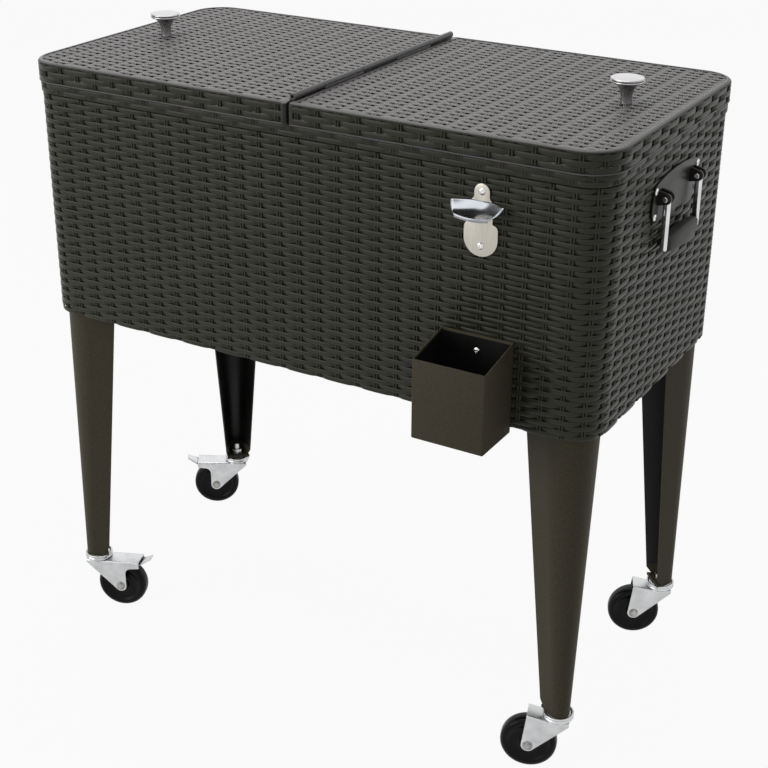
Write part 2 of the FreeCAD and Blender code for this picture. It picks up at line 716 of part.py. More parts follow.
def cap_catcher():
    x0 = CATCHER_X - CATCHER_WIDTH / 2
    bottom = BODY_BOTTOM - CATCHER_BELOW_SHELL
    front = FRONT - CATCHER_DEPTH
    side = [
        Vector(x0, FRONT, bottom),
        Vector(x0, front, bottom),
        Vector(x0, front, bottom + CATCHER_FRONT_HEIGHT),
        Vector(x0, FRONT, bottom + CATCHER_BACK_HEIGHT),
    ]
    outside = prism(side, Vector(CATCHER_WIDTH, 0, 0))
    hollow = block(
        x0 + CATCHER_SHEET,
        x0 + CATCHER_WIDTH - CATCHER_SHEET,
        front + CATCHER_SHEET,
        FRONT - CATCHER_SHEET,
        bottom + CATCHER_SHEET,
        bottom + CATCHER_BACK_HEIGHT,
    )
    catcher = outside.cut(hollow)
    for x, z in catcher_screw_places():
        hole = rod(SCREW_RADIUS + SCREW_GAP, Vector(x, FRONT, z), Vector(x, FRONT - CATCHER_SHEET, z))
        catcher = catcher.cut(hole)
    return catcher


def catcher_screws():
    seat = FRONT - CATCHER_SHEET
    return Part.makeCompound([front_screw(x, z, seat) for x, z in catcher_screw_places()])


def bracket_screw_places():
    half = BRACKET_WIDTH / 2 - BRACKET_SCREW_INSET_Y
    high = LID_TOP - BRACKET_DROP - BRACKET_SCREW_INSET_Z
    low = LID_TOP - BRACKET_DROP - BRACKET_HEIGHT + BRACKET_SCREW_INSET_Z
    return [(-half, high), (half, high), (-half, low), (half, low)]


def bracket_screw_hole(side, y, z):
    radius = SCREW_RADIUS + SCREW_GAP
    return rod(radius, Vector(side * (END - SHELL_WALL), y, z), Vector(side * END, y, z))


def bracket_screw_room(side, y, z):
    radius = SCREW_RADIUS + FIT_GAP
    return rod(radius, Vector(side * (END - SCREW_DEPTH - FIT_GAP), y, z), Vector(side * END, y, z))


def lug_centres():
    arm = BAIL_WIDTH / 2
    away = BAIL_ARM_THICKNESS / 2 + BAIL_SIDE_GAP + LUG_THICKNESS / 2
    return [-arm - away, -arm + away, arm - away, arm + away]


def handle_bracket(side):
    back = side * END
    face = side * (END + BRACKET_SHEET)
    x0, x1 = sorted((back, face))
    top = LID_TOP - BRACKET_DROP
    bottom = top - BRACKET_HEIGHT
    half = BRACKET_WIDTH / 2
    ends = top - BRACKET_ARCH
    outline = Part.Wire([
        Part.LineSegment(Vector(x0, half, ends), Vector(x0, half, bottom)).toShape(),
        Part.LineSegment(Vector(x0, half, bottom), Vector(x0, -half, bottom)).toShape(),
        Part.LineSegment(Vector(x0, -half, bottom), Vector(x0, -half, ends)).toShape(),
        Part.Arc(Vector(x0, -half, ends), Vector(x0, 0, top), Vector(x0, half, ends)).toShape(),
    ])
    plate = Part.Face(outline).extrude(Vector(x1 - x0, 0, 0))
    corners = [edge for edge in plate.Edges if abs(edge.tangentAt(edge.FirstParameter).x) > 0.9]
    plate = plate.makeFillet(BRACKET_CORNER, corners)
    pieces = [plate]
    pivot = side * PIVOT_X
    for y in lug_centres():
        y0 = y - LUG_THICKNESS / 2
        y1 = y + LUG_THICKNESS / 2
        root0, root1 = sorted((back, pivot))
        pieces.append(block(root0, root1, y0, y1, PIVOT_Z - LUG_RADIUS, PIVOT_Z + LUG_RADIUS))
        pieces.append(rod(LUG_RADIUS, Vector(pivot, y0, PIVOT_Z), Vector(pivot, y1, PIVOT_Z)))
    bracket = union(pieces)
    hole = PIVOT_RADIUS + PIVOT_RUNNING_GAP
    bracket = bracket.cut(rod(hole, Vector(pivot, -half, PIVOT_Z), Vector(pivot, half, PIVOT_Z)))
    for y, z in bracket_screw_places():
        screw = rod(SCREW_RADIUS + SCREW_GAP, Vector(back, y, z), Vector(face, y, z))
        bracket = bracket.cut(screw)
    return bracket


def bracket_screws():
    screws = []
    for side in (-1, 1):
        seat = side * (END + BRACKET_SHEET)
        for y, z in bracket_screw_places():
            crown = seat + side * SCREW_HEAD_HEIGHT
            head = rod(SCREW_HEAD_RADIUS, Vector(seat, y, z), Vector(crown, y, z))
            outer = [edge for edge in head.Edges if abs(edge.CenterOfMass.x - crown) < SCREW_GAP]
            head = head.makeFillet(SCREW_HEAD_HEIGHT / 2, outer)
            shank = rod(SCREW_RADIUS, Vector(seat, y, z), Vector(side * (END - SCREW_DEPTH), y, z))
            screws.append(union([head, shank]))
    return Part.makeCompound(screws)


def bail(side):
    x = side * PIVOT_X
    half_arm = BAIL_ARM_WIDTH / 2
    pieces = []
    for end in (-1, 1):
        y = end * BAIL_WIDTH / 2
        y0 = y - BAIL_ARM_THICKNESS / 2
        y1 = y + BAIL_ARM_THICKNESS / 2
        pieces.append(block(x - half_arm, x + half_arm, y0, y1, GRIP_Z, PIVOT_Z))
        for z in (GRIP_Z, PIVOT_Z):
            pieces.append(rod(half_arm, Vector(x, y0, z), Vector(x, y1, z)))
        pin = BAIL_ARM_THICKNESS / 2 + BAIL_SIDE_GAP + LUG_THICKNESS
        pieces.append(rod(PIVOT_RADIUS, Vector(x, y - pin, PIVOT_Z), Vector(x, y + pin, PIVOT_Z)))
    half = BAIL_WIDTH / 2
    pieces.append(rod(GRIP_ROD_RADIUS, Vector(x, -half, GRIP_Z), Vector(x, half, GRIP_Z)))
    return union(pieces)


def grip(side):
    x = side * PIVOT_X
    half = BAIL_WIDTH / 2 - BAIL_ARM_THICKNESS / 2 - GRIP_END_GAP
    bar = block(
        x - GRIP_THICKNESS / 2,
        x + GRIP_THICKNESS / 2,
        -half,
        half,
        GRIP_Z - GRIP_HEIGHT / 2,
        GRIP_Z + GRIP_HEIGHT / 2,
    )
    long_edges = [edge for edge in bar.Edges if abs(edge.tangentAt(edge.FirstParameter).y) > 0.9]
    bar = bar.makeFillet(GRIP_ROUND, long_edges)
    radius = GRIP_ROD_RADIUS + GRIP_ROD_GAP
    return bar.cut(rod(radius, Vector(x, -half, GRIP_Z), Vector(x, half, GRIP_Z)))


def leg_size(z):
    share = (LEG_TOP - z) / (LEG_TOP - LEG_BOTTOM)
    radius = LEG_TOP_RADIUS + share * (LEG_FOOT_RADIUS - LEG_TOP_RADIUS)
    side = LEG_TOP_FLANK_LENGTH + share * (LEG_FOOT_FLANK_LENGTH - LEG_TOP_FLANK_LENGTH)
    return radius, side, share * LEG_FOOT_SHIFT


def leg_points(z, inset):
    radius, side, shift = leg_size(z)
    angle = math.radians(LEG_HALF_ANGLE)
    radius -= inset
    turn = Vector(shift + radius * math.cos(angle), radius * math.sin(angle), z)
    tip = turn + Vector(-side * math.sin(angle), side * math.cos(angle), 0)
    apex = Vector(shift + radius, 0, z)
    return tip, turn, apex


def across(point):
    return Vector(point.x, -point.y, point.z)


def leg_trough_wire(z):
    tip, turn, apex = leg_points(z, 0)
    tip_in, turn_in, apex_in = leg_points(z, LEG_SHEET)
    edges = [
        Part.LineSegment(tip, turn).toShape(),
        Part.Arc(turn, apex, across(turn)).toShape(),
        Part.LineSegment(across(turn), across(tip)).toShape(),
        Part.LineSegment(across(tip), across(tip_in)).toShape(),
        Part.LineSegment(across(tip_in), across(turn_in)).toShape(),
        Part.Arc(across(turn_in), apex_in, turn_in).toShape(),
        Part.LineSegment(turn_in, tip_in).toShape(),
        Part.LineSegment(tip_in, tip).toShape(),
    ]
    return Part.Wire(edges)


def leg_plate(z0, z1, level, inset):
    tip, turn, apex = leg_points(level, inset)
    drop = Vector(0, 0, z0 - level)
    edges = [
        Part.LineSegment(tip + drop, turn + drop).toShape(),
        Part.Arc(turn + drop, apex + drop, across(turn) + drop).toShape(),
        Part.LineSegment(across(turn) + drop, across(tip) + drop).toShape(),
        Part.LineSegment(across(tip) + drop, tip + drop).toShape(),
    ]
    return Part.Face(Part.Wire(edges)).extrude(Vector(0, 0, z1 - z0))


def leg_bolt_spots():
    return [
        (LEG_BOLT_OUTER_U, 0.0),
        (LEG_BOLT_INNER_U, LEG_BOLT_INNER_V),
        (LEG_BOLT_INNER_U, -LEG_BOLT_INNER_V),
    ]


def local_leg():
    trough = Part.makeLoft([leg_trough_wire(LEG_TOP), leg_trough_wire(LEG_BOTTOM)], True, True)
    tip = leg_points(LEG_BOTTOM, 0)[0]
    wide = tip.y + LEG_SHEET
    near = tip.x - LEG_SHEET
    low = LEG_BOTTOM - LEG_SHEET
    notch = prism(
        [
            Vector(near, -wide, low),
            Vector(tip.x + LEG_CHAMFER_ALONG, -wide, low),
            Vector(near, -wide, LEG_BOTTOM + LEG_CHAMFER_UP),
        ],
        Vector(0, 2 * wide, 0),
    )
    trough = trough.cut(notch)
    head = leg_plate(LEG_TOP - LEG_PLATE, LEG_TOP, LEG_TOP, LEG_SHEET / 2)
    foot = leg_plate(LEG_BOTTOM, LEG_BOTTOM + LEG_FOOT_PLATE, LEG_BOTTOM, LEG_SHEET / 2)
    leg = union([trough, head, foot])
    for u, v in leg_bolt_spots():
        leg = leg.cut(upright(LEG_BOLT_RADIUS + LEG_BOLT_GAP, u, v, LEG_TOP - LEG_PLATE, LEG_TOP))
    hole = STEM_RADIUS + STEM_GAP
    return leg.cut(upright(hole, CASTER_STEM_SHIFT, 0, LEG_BOTTOM, LEG_BOTTOM + LEG_FOOT_PLATE))


def outward_angle(side_x, side_y):
    return math.degrees(math.atan2(side_y, side_x))


def leg(side_x, side_y):
    shape = local_leg()
    shape.rotate(Vector(0, 0, 0), Vector(0, 0, 1), outward_angle(side_x, side_y))
    shape.translate(Vector(side_x * LEG_X, side_y * LEG_Y, 0))
    return shape


def leg_bolt_places():
    places = []
    for side_x, side_y, swivel in CORNERS.values():
        angle = math.radians(outward_angle(side_x, side_y))
        for u, v in leg_bolt_spots():
            x = side_x * LEG_X + u * math.cos(angle) - v * math.sin(angle)
            y = side_y * LEG_Y + u * math.sin(angle) + v * math.cos(angle)
            places.append((x, y))
    return places


def leg_bolts():
    solids = []
    nut_top = LEG_TOP - LEG_PLATE
    nut_bottom = nut_top - LEG_BOLT_HEAD_HEIGHT
    for x, y in leg_bolt_places():
        head = hexagon(LEG_BOLT_HEAD_RADIUS, x, y, PAN_TOP, PAN_TOP + LEG_BOLT_HEAD_HEIGHT)
        shank = upright(LEG_BOLT_RADIUS, x, y, nut_bottom - LEG_BOLT_GAP, PAN_TOP)
        solids.append(union([head, shank]))
        nut = hexagon(LEG_BOLT_HEAD_RADIUS, x, y, nut_bottom, nut_top)
        solids.append(nut.cut(upright(LEG_BOLT_RADIUS + LEG_BOLT_GAP, x, y, nut_bottom, nut_top)))
    return Part.makeCompound(solids)


def drain_fitting():
    profile = [
        (DRAIN_BORE_RADIUS, DRAIN_SPOUT_BOTTOM),
        (DRAIN_SPOUT_RADIUS, DRAIN_SPOUT_BOTTOM),
        (DRAIN_SPOUT_RADIUS, DRAIN_NUT_BOTTOM),
        (DRAIN_SHANK_RADIUS, DRAIN_NUT_BOTTOM),
        (DRAIN_SHANK_RADIUS, TUB_FLOOR),
        (DRAIN_FLANGE_RADIUS, TUB_FLOOR),
        (DRAIN_FLANGE_RADIUS, DRAIN_TOP),
        (DRAIN_BORE_RADIUS, DRAIN_TOP),
    ]
    return turned(profile, DRAIN_X, 0)


def drain_nut():
    nut = hexagon(DRAIN_NUT_RADIUS, DRAIN_X, 0, DRAIN_NUT_BOTTOM, PAN_BOTTOM)
    return nut.cut(upright(DRAIN_SHANK_RADIUS + DRAIN_GAP, DRAIN_X, 0, DRAIN_NUT_BOTTOM, PAN_BOTTOM))


def drain_plug():
    seat = DRAIN_TOP + DRAIN_GAP
    cap = seat + PLUG_CAP
    pull = cap + PLUG_PULL_HEIGHT
    stem = DRAIN_BORE_RADIUS - DRAIN_GAP
    waist = PLUG_PULL_RADIUS - PLUG_CAP / 4
    profile = [
        (0, seat - PLUG_DEPTH),
        (stem, seat - PLUG_DEPTH),
        (stem, seat),
        (PLUG_CAP_RADIUS, seat),
        (PLUG_CAP_RADIUS, cap),
        (waist, cap),
        (waist, pull - PLUG_CAP),
        (PLUG_PULL_RADIUS, pull - PLUG_CAP),
        (PLUG_PULL_RADIUS, pull),
        (0, pull),
    ]
    return turned(profile, DRAIN_X, 0)


def stem_place(side_x, side_y):
    return Vector(side_x * STEM_X, side_y * STEM_Y, 0)


def caster_stem():
    profile = [
        (0, CROWN_BOTTOM - RACE_GAP - KINGPIN_HEAD),
        (KINGPIN_HEAD_RADIUS, CROWN_BOTTOM - RACE_GAP - KINGPIN_HEAD),
        (KINGPIN_HEAD_RADIUS, CROWN_BOTTOM - RACE_GAP),
        (KINGPIN_RADIUS, CROWN_BOTTOM - RACE_GAP),
        (KINGPIN_RADIUS, RACE_BOTTOM),
        (RACE_RADIUS - RACE_ROUND, RACE_BOTTOM),
        (RACE_RADIUS, RACE_BOTTOM + RACE_ROUND),
        (RACE_RADIUS, LEG_BOTTOM - RACE_ROUND),
        (RACE_RADIUS - RACE_ROUND, LEG_BOTTOM),
        (STEM_RADIUS, LEG_BOTTOM),
        (STEM_RADIUS, LEG_BOTTOM + STEM_LENGTH),
        (0, LEG_BOTTOM + STEM_LENGTH),
    ]
    return turned(profile, 0, 0)


def stem_nut():
    low = LEG_BOTTOM + LEG_FOOT_PLATE
    nut = hexagon(STEM_NUT_RADIUS, 0, 0, low, low + STEM_NUT_HEIGHT)
    return nut.cut(upright(STEM_RADIUS + STEM_GAP, 0, 0, low, low + STEM_NUT_HEIGHT))


def caster_stems():
    stems = []
    for side_x, side_y, swivel in CORNERS.values():
        stem = caster_stem()
        stem.translate(stem_place(side_x, side_y))
        stems.append(stem)
    return Part.makeCompound(stems)


def stem_nuts():
    nuts = []
    for side_x, side_y, swivel in CORNERS.values():
        nut = stem_nut()
        nut.translate(stem_place(side_x, side_y))
        nuts.append(nut)
    return Part.makeCompound(nuts)


def fork_arm(reach, rise):
    profile = [
        (0, CROWN_BOTTOM),
        (ARM_START, CROWN_BOTTOM),
        (reach, CROWN_BOTTOM + rise),
        (reach, CROWN_TOP + rise),
        (ARM_START, CROWN_TOP),
        (0, CROWN_TOP),
    ]
    near = -CHEEK_OUTSIDE
    return prism([Vector(u, near, z) for u, z in profile], Vector(0, 2 * CHEEK_OUTSIDE, 0))


def cheek_foot():
    axle = AXLE_HEAD_RADIUS + FORK_SHEET
    return [
        (-CROWN_RADIUS + FORK_SHEET, CROWN_TOP),
        (-CROWN_RADIUS + FORK_SHEET, CROWN_BOTTOM - FORK_SHEET),
        (CASTER_TRAIL - axle, WHEEL_RADIUS - axle / 2),
        (CASTER_TRAIL - axle / 2, WHEEL_RADIUS - axle),
        (CASTER_TRAIL + axle / 2, WHEEL_RADIUS - axle),
        (CASTER_TRAIL + axle, WHEEL_RADIUS - axle / 2),
    ]


def plain_cheek():
    return cheek_foot() + [
        (PLAIN_ARM_REACH, CROWN_TOP + PLAIN_ARM_RISE),
        (ARM_START, CROWN_TOP),
    ]


def braked_cheek():
    axle = AXLE_HEAD_RADIUS + FORK_SHEET
    arm_low = CROWN_TOP + BRAKED_ARM_RISE - BRAKED_ARM_DEPTH
    return cheek_foot() + [
        (CASTER_TRAIL + axle, arm_low - axle),
        (CASTER_TRAIL + axle + FORK_SHEET, arm_low - FORK_SHEET),
        (CASTER_TRAIL + 2 * axle, arm_low - FORK_SHEET / 2),
        (BRAKED_ARM_REACH, arm_low),
        (BRAKED_ARM_REACH, CROWN_TOP + BRAKED_ARM_RISE),
        (ARM_START, CROWN_TOP),
    ]


def local_fork(arm, outline):
    pieces = [upright(CROWN_RADIUS, 0, 0, CROWN_BOTTOM, CROWN_TOP), arm]
    for v in (-CHEEK_OUTSIDE, CHEEK_INSIDE):
        pieces.append(prism([Vector(u, v, z) for u, z in outline], Vector(0, FORK_SHEET, 0)))
    fork = union(pieces)
    fork = fork.cut(upright(KINGPIN_RADIUS + KINGPIN_RUNNING_GAP, 0, 0, CROWN_BOTTOM, CROWN_TOP))
    axle = Vector(CASTER_TRAIL, -CHEEK_OUTSIDE, WHEEL_RADIUS)
    return fork.cut(rod(AXLE_RADIUS, axle, axle + Vector(0, 2 * CHEEK_OUTSIDE, 0)))


def plain_fork():
    return local_fork(fork_arm(PLAIN_ARM_REACH, PLAIN_ARM_RISE), plain_cheek())


def braked_fork():
    fork = local_fork(fork_arm(BRAKED_ARM_REACH, BRAKED_ARM_RISE), braked_cheek())
    pivot = Vector(LEVER_U, -CHEEK_OUTSIDE, LEVER_Z)
    bore = LEVER_PIN_RADIUS + LEVER_RUNNING_GAP
    return fork.cut(rod(bore, pivot, pivot + Vector(0, 2 * CHEEK_OUTSIDE, 0)))


def local_axle():
    low = Vector(CASTER_TRAIL, -CHEEK_OUTSIDE, WHEEL_RADIUS)
    high = Vector(CASTER_TRAIL, CHEEK_OUTSIDE, WHEEL_RADIUS)
    head = Vector(0, AXLE_HEAD, 0)
    return union([
        rod(AXLE_RADIUS, low, high),
        rod(AXLE_HEAD_RADIUS, low - head, low),
        rod(AXLE_HEAD_RADIUS, high, high + head),
    ])


def local_wheel():
    half = WHEEL_WIDTH / 2
    hub = half + WHEEL_HUB_PROUD
    rim = WHEEL_RADIUS - WHEEL_RIM
    web = half - WHEEL_DISH
    bore = AXLE_RADIUS + AXLE_RUNNING_GAP
    half_profile = [
        (bore, hub),
        (WHEEL_HUB_RADIUS, hub),
        (WHEEL_HUB_RADIUS, web),
        (rim - WHEEL_DISH, web),
        (rim, half),
        (WHEEL_RADIUS - WHEEL_ROUND, half),
        (WHEEL_RADIUS, half - WHEEL_ROUND),
    ]
    profile = half_profile + [(radius, -height) for radius, height in reversed(half_profile)]
    wheel = turned(profile, 0, 0)
    wheel.rotate(Vector(0, 0, 0), Vector(1, 0, 0), 90)
    wheel.translate(Vector(CASTER_TRAIL, 0, WHEEL_RADIUS))
    return wheel


def lever_pedal():
    half = LEVER_SHEET / 2
    line = [
        (0, 0),
        (LEVER_BEND_AHEAD, LEVER_BEND_RISE),
        (LEVER_TIP_AHEAD, LEVER_TIP_RISE),
    ]
    below = [Vector(LEVER_U + u, 0, LEVER_Z + z - half) for u, z in line]
    above = [Vector(LEVER_U + u, 0, LEVER_Z + z + half) for u, z in reversed(line)]
    sheet = prism(below + above, Vector(0, LEVER_WIDTH, 0))
    sheet.translate(Vector(0, -LEVER_WIDTH / 2, 0))
    wide = LEVER_WIDTH / 2
    tip = LEVER_TIP_WIDTH / 2
    shape = [
        (0, -wide),
        (LEVER_BEND_AHEAD, -wide),
        (LEVER_TIP_AHEAD, -tip),
        (LEVER_TIP_AHEAD, tip),
        (LEVER_BEND_AHEAD, wide),
        (0, wide),
    ]
    low = LEVER_Z - LEVER_SHEET
    height = LEVER_TIP_RISE + 2 * LEVER_SHEET
    trim = prism([Vector(LEVER_U + u, v, low) for u, v in shape], Vector(0, 0, height))
    return sheet.common(trim)


def local_lever():
    half = CHEEK_INSIDE - LEVER_CHEEK_GAP
    pivot = Vector(LEVER_U, 0, LEVER_Z)
    barrel = rod(LEVER_BARREL_RADIUS, pivot - Vector(0, half, 0), pivot + Vector(0, half, 0))
    reach = Vector(0, CHEEK_OUTSIDE, 0)
    pin = rod(LEVER_PIN_RADIUS, pivot - reach, pivot + reach)
    return union([barrel, pin, lever_pedal()])


def at_corner(shape, side_x, side_y, swivel):
    shape.rotate(Vector(0, 0, 0), Vector(0, 0, 1), swivel)
    shape.translate(stem_place(side_x, side_y))
    return shape


def build():
    nodes = {
        "outer_shell": outer_shell(),
        "rim_collar": rim_collar(),
        "insulation_body": insulation_body(),
        "inner_liner": inner_liner(),
        "liner_floor": liner_floor(),
        "rim_flange": rim_flange(),
        "base_pan": base_pan(),
        "rim_gasket": rim_gasket(),
        "centre_bridge": centre_bridge(),
        "hinge_rod": hinge_rod(),
        "drain_fitting": drain_fitting(),
        "drain_nut": drain_nut(),
        "drain_plug": drain_plug(),
        "bottle_opener": bottle_opener(),
        "opener_screws": opener_screws(),
        "cap_catcher": cap_catcher(),
        "catcher_screws": catcher_screws(),
        "bracket_screws": bracket_screws(),
        "leg_bolts": leg_bolts(),
        "caster_stems": caster_stems(),
        "stem_nuts": stem_nuts(),
    }
    for side, name in ((-1, "left"), (1, "right")):
        nodes["lid_shell_" + name] = lid_shell(side)
        nodes["lid_foam_" + name] = lid_foam(side)
        nodes["lid_liner_" + name] = lid_liner(side)
        nodes["knob_" + name] = knob(side)
        nodes["knob_screw_" + name] = knob_screw(side)
        nodes["handle_bracket_" + name] = handle_bracket(side)
        nodes["bail_" + name] = bail(side)
        nodes["grip_" + name] = grip(side)
    for name, (side_x, side_y, swivel) in CORNERS.items():
        nodes["leg_" + name] = leg(side_x, side_y)
        braked = name in BRAKED_CORNERS
        fork = braked_fork() if braked else plain_fork()
        nodes["fork_" + name] = at_corner(fork, side_x, side_y, swivel)
        nodes["axle_" + name] = at_corner(local_axle(), side_x, side_y, swivel)
        nodes["wheel_" + name] = at_corner(local_wheel(), side_x, side_y, swivel)
        if braked:
            nodes["brake_lever_" + name] = at_corner(local_lever(), side_x, side_y, swivel)
    return nodes


def origin_shift(nodes):
    box = Part.makeCompound(list(nodes.values())).optimalBoundingBox(False, False)
    return Vector(-box.Center.x, -box.Center.y, 0)


def main():
    os.makedirs("parts", exist_ok=True)
    nodes = build()
    shift = origin_shift(nodes)
    print("moved", round(shift.x, 3), round(shift.y, 3))
    for name, shape in nodes.items():
        shape.translate(shift)
        shape.exportStep(os.path.join("parts", name + ".step"))
        print(name, len(shape.Solids), shape.isValid(), round(shape.Volume))


main()
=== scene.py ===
# %% [markdown]
# # A rolling patio cooler
# The cooler is an insulated tub in a shell that is moulded to look woven. Two lids meet at a hinge
# across the middle, a bottle opener and a cap catcher hang on the front, a bail handle hangs on each
# end, and four rolled legs stand on casters. The measured solids come first: they fix the overall
# sizes and places, and each piece below is modelled around them.

# %% Load the measured frame
import json
import math

import bmesh
import bpy
from mathutils import Euler, Matrix, Vector

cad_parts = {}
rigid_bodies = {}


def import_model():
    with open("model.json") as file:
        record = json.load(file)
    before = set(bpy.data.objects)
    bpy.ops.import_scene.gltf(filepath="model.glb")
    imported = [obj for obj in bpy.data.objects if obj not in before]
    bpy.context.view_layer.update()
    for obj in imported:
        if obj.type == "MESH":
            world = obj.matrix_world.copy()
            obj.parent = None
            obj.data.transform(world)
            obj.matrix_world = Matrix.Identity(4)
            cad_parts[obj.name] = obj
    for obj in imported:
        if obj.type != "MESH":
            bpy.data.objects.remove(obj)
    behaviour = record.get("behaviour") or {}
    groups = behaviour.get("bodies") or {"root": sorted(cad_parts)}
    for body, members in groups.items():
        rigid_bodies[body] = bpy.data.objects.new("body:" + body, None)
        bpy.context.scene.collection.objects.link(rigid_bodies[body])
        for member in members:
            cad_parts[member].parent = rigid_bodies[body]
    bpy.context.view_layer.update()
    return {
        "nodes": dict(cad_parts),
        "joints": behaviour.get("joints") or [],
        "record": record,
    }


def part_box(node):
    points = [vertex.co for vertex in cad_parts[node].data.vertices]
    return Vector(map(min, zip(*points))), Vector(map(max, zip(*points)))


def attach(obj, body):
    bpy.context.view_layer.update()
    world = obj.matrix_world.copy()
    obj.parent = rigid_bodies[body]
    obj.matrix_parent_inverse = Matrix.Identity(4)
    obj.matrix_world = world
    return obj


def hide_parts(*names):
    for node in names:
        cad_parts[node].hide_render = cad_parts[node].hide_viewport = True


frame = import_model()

MM = 0.001
bpy.ops.object.select_all(action="DESELECT")

# %% [markdown]
# The shell's box gives the middle of the body. The round of the body's corners in plan can't be read
# from a box, so it is stated here.

# %% Main measures of the body
WALL_LOW, WALL_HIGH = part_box("outer_shell")
BODY_X = (WALL_LOW.x + WALL_HIGH.x) / 2
BODY_Y = (WALL_LOW.y + WALL_HIGH.y) / 2
BODY_LENGTH = WALL_HIGH.x - WALL_LOW.x
BODY_DEPTH = WALL_HIGH.y - WALL_LOW.y
BODY_CORNER = 42 * MM
WALL_HEIGHT = WALL_HIGH.z - WALL_LOW.z
print("body:", round(BODY_LENGTH / MM), "x", round(BODY_DEPTH / MM), "x", round(WALL_HEIGHT / MM), "mm")

# %% [markdown]
# The photograph looks down on the front right corner from a little over two metres away. The camera
# stands where a fit to the photograph put it, so that the body's edges fall on the picture's.

# %% Camera
CAMERA_FROM_BODY = (0.951, -1.610, 1.262)
CAMERA_TILT = math.radians(64.62)
CAMERA_ROLL = math.radians(0.40)
CAMERA_HEADING = math.radians(30.25)
CAMERA_LENS = 70.92
CAMERA_FAR = 50

bpy.ops.object.camera_add(location=Vector((BODY_X, BODY_Y, 0)) + Vector(CAMERA_FROM_BODY))
camera = bpy.context.object
level = Euler((CAMERA_TILT, 0, CAMERA_HEADING)).to_matrix()
camera.rotation_euler = (level @ Matrix.Rotation(CAMERA_ROLL, 3, "Z")).to_euler()
camera.name = "studio_camera"
camera.data.lens = CAMERA_LENS
camera.data.clip_end = CAMERA_FAR
bpy.context.scene.camera = camera
print("camera lens", CAMERA_LENS, "mm")

# %% [markdown]
# The picture is a cut-out look: an object on white, brightest on its top. A white sky lights it
# softly. A wide lamp behind it gives the lids their sheen, one overhead lights their edges, one at the
# back right grazes the end and one at the front left lights the front. The camera sees the sky and the
# floor as plain white, but for a faint contact shadow, and so do the rays that mirrors send out, so
# that the metal shows the same white room. From below, the floor is clear, so that the underside can
# be looked at.

# %% Sky, lamps and floor
WHITE = (1, 1, 1, 1)
SKY_LIGHT = 0.25
# Each lamp has a place and a size in metres and a power in watts.
LAMPS = {
    "back_lamp": ((-1.9, 2.6, 1.9), (3.4, 1.8), 8),
    "top_lamp": ((-0.5, 0.0, 2.9), (2.4, 2.0), 28),
    "right_lamp": ((2.5, 1.8, 1.6), (1.6, 1.6), 4),
    "front_lamp": ((-1.9, -2.5, 1.6), (2.2, 1.8), 30),
}
LAMP_AIM = Vector((BODY_X, BODY_Y, 0.65))
FLOOR_SIZE = 30
FLOOR_TONE = 0.45
FLOOR_SHADOW_SHARE = 0.06


def add_node(tree, kind, inputs=(), **settings):
    """A node with its settings and the constants on its own sockets."""
    node = tree.nodes.new(kind)
    for setting, value in settings.items():
        setattr(node, setting, value)
    for label, value in dict(inputs).items():
        node.inputs[label].default_value = value
    return node


def white_for_the_eye(tree):
    """1 for rays of the camera and for mirrored or refracted ones, else 0."""
    path = add_node(tree, "ShaderNodeLightPath")
    total = path.outputs["Is Camera Ray"]
    for kind in ("Is Glossy Ray", "Is Transmission Ray"):
        either = add_node(tree, "ShaderNodeMath", operation="MAXIMUM")
        tree.links.new(total, either.inputs[0])
        tree.links.new(path.outputs[kind], either.inputs[1])
        total = either.outputs[0]
    return total


def mix_shaders(tree, share, first, second):
    """A mix that goes from the first shader to the second as the share goes from 0 to 1."""
    mix = add_node(tree, "ShaderNodeMixShader")
    for source, socket in zip((share, first, second), mix.inputs):
        tree.links.new(source, socket)
    return mix.outputs[0]


scene = bpy.context.scene
scene.view_settings.view_transform = "Standard"
world = bpy.data.worlds.new("white_studio")
world.use_nodes = True
scene.world = world
sky = world.node_tree
light = sky.nodes["Background"]
light.inputs["Color"].default_value = WHITE
light.inputs["Strength"].default_value = SKY_LIGHT
paper = add_node(sky, "ShaderNodeBackground", {"Color": WHITE})
seen_sky = mix_shaders(sky, white_for_the_eye(sky), light.outputs[0], paper.outputs[0])
sky.links.new(seen_sky, sky.nodes["World Output"].inputs["Surface"])

for name, (place, size, power) in LAMPS.items():
    bpy.ops.object.light_add(type="AREA", location=place)
    lamp = bpy.context.object
    lamp.name = name
    lamp.data.shape = "RECTANGLE"
    lamp.data.size, lamp.data.size_y = size
    lamp.data.energy = power
    lamp.rotation_euler = (LAMP_AIM - Vector(place)).to_track_quat("-Z", "Y").to_euler()

bpy.ops.mesh.primitive_plane_add(size=FLOOR_SIZE)
floor = bpy.context.object
floor.name = "studio_floor"
paper_finish = bpy.data.materials.new("white_paper")
paper_finish.use_nodes = True
tree = paper_finish.node_tree
matt = tree.nodes["Principled BSDF"]
matt.inputs["Base Color"].default_value = (FLOOR_TONE, FLOOR_TONE, FLOOR_TONE, 1)
matt.inputs["Roughness"].default_value = 1
matt.inputs["Specular IOR Level"].default_value = 0
glow = add_node(tree, "ShaderNodeEmission")
share = add_node(tree, "ShaderNodeMath", {1: 1 - FLOOR_SHADOW_SHARE}, operation="MULTIPLY")
tree.links.new(white_for_the_eye(tree), share.inputs[0])
from_above = mix_shaders(tree, share.outputs[0], matt.outputs[0], glow.outputs[0])
side_seen = add_node(tree, "ShaderNodeNewGeometry")
from_below = add_node(tree, "ShaderNodeBsdfTransparent")
surface = mix_shaders(tree, side_seen.outputs["Backfacing"], from_above, from_below.outputs[0])
tree.links.new(surface, tree.nodes["Material Output"].inputs["Surface"])
floor.data.materials.append(paper_finish)
print("sky", SKY_LIGHT, "and", len(LAMPS), "lamps")

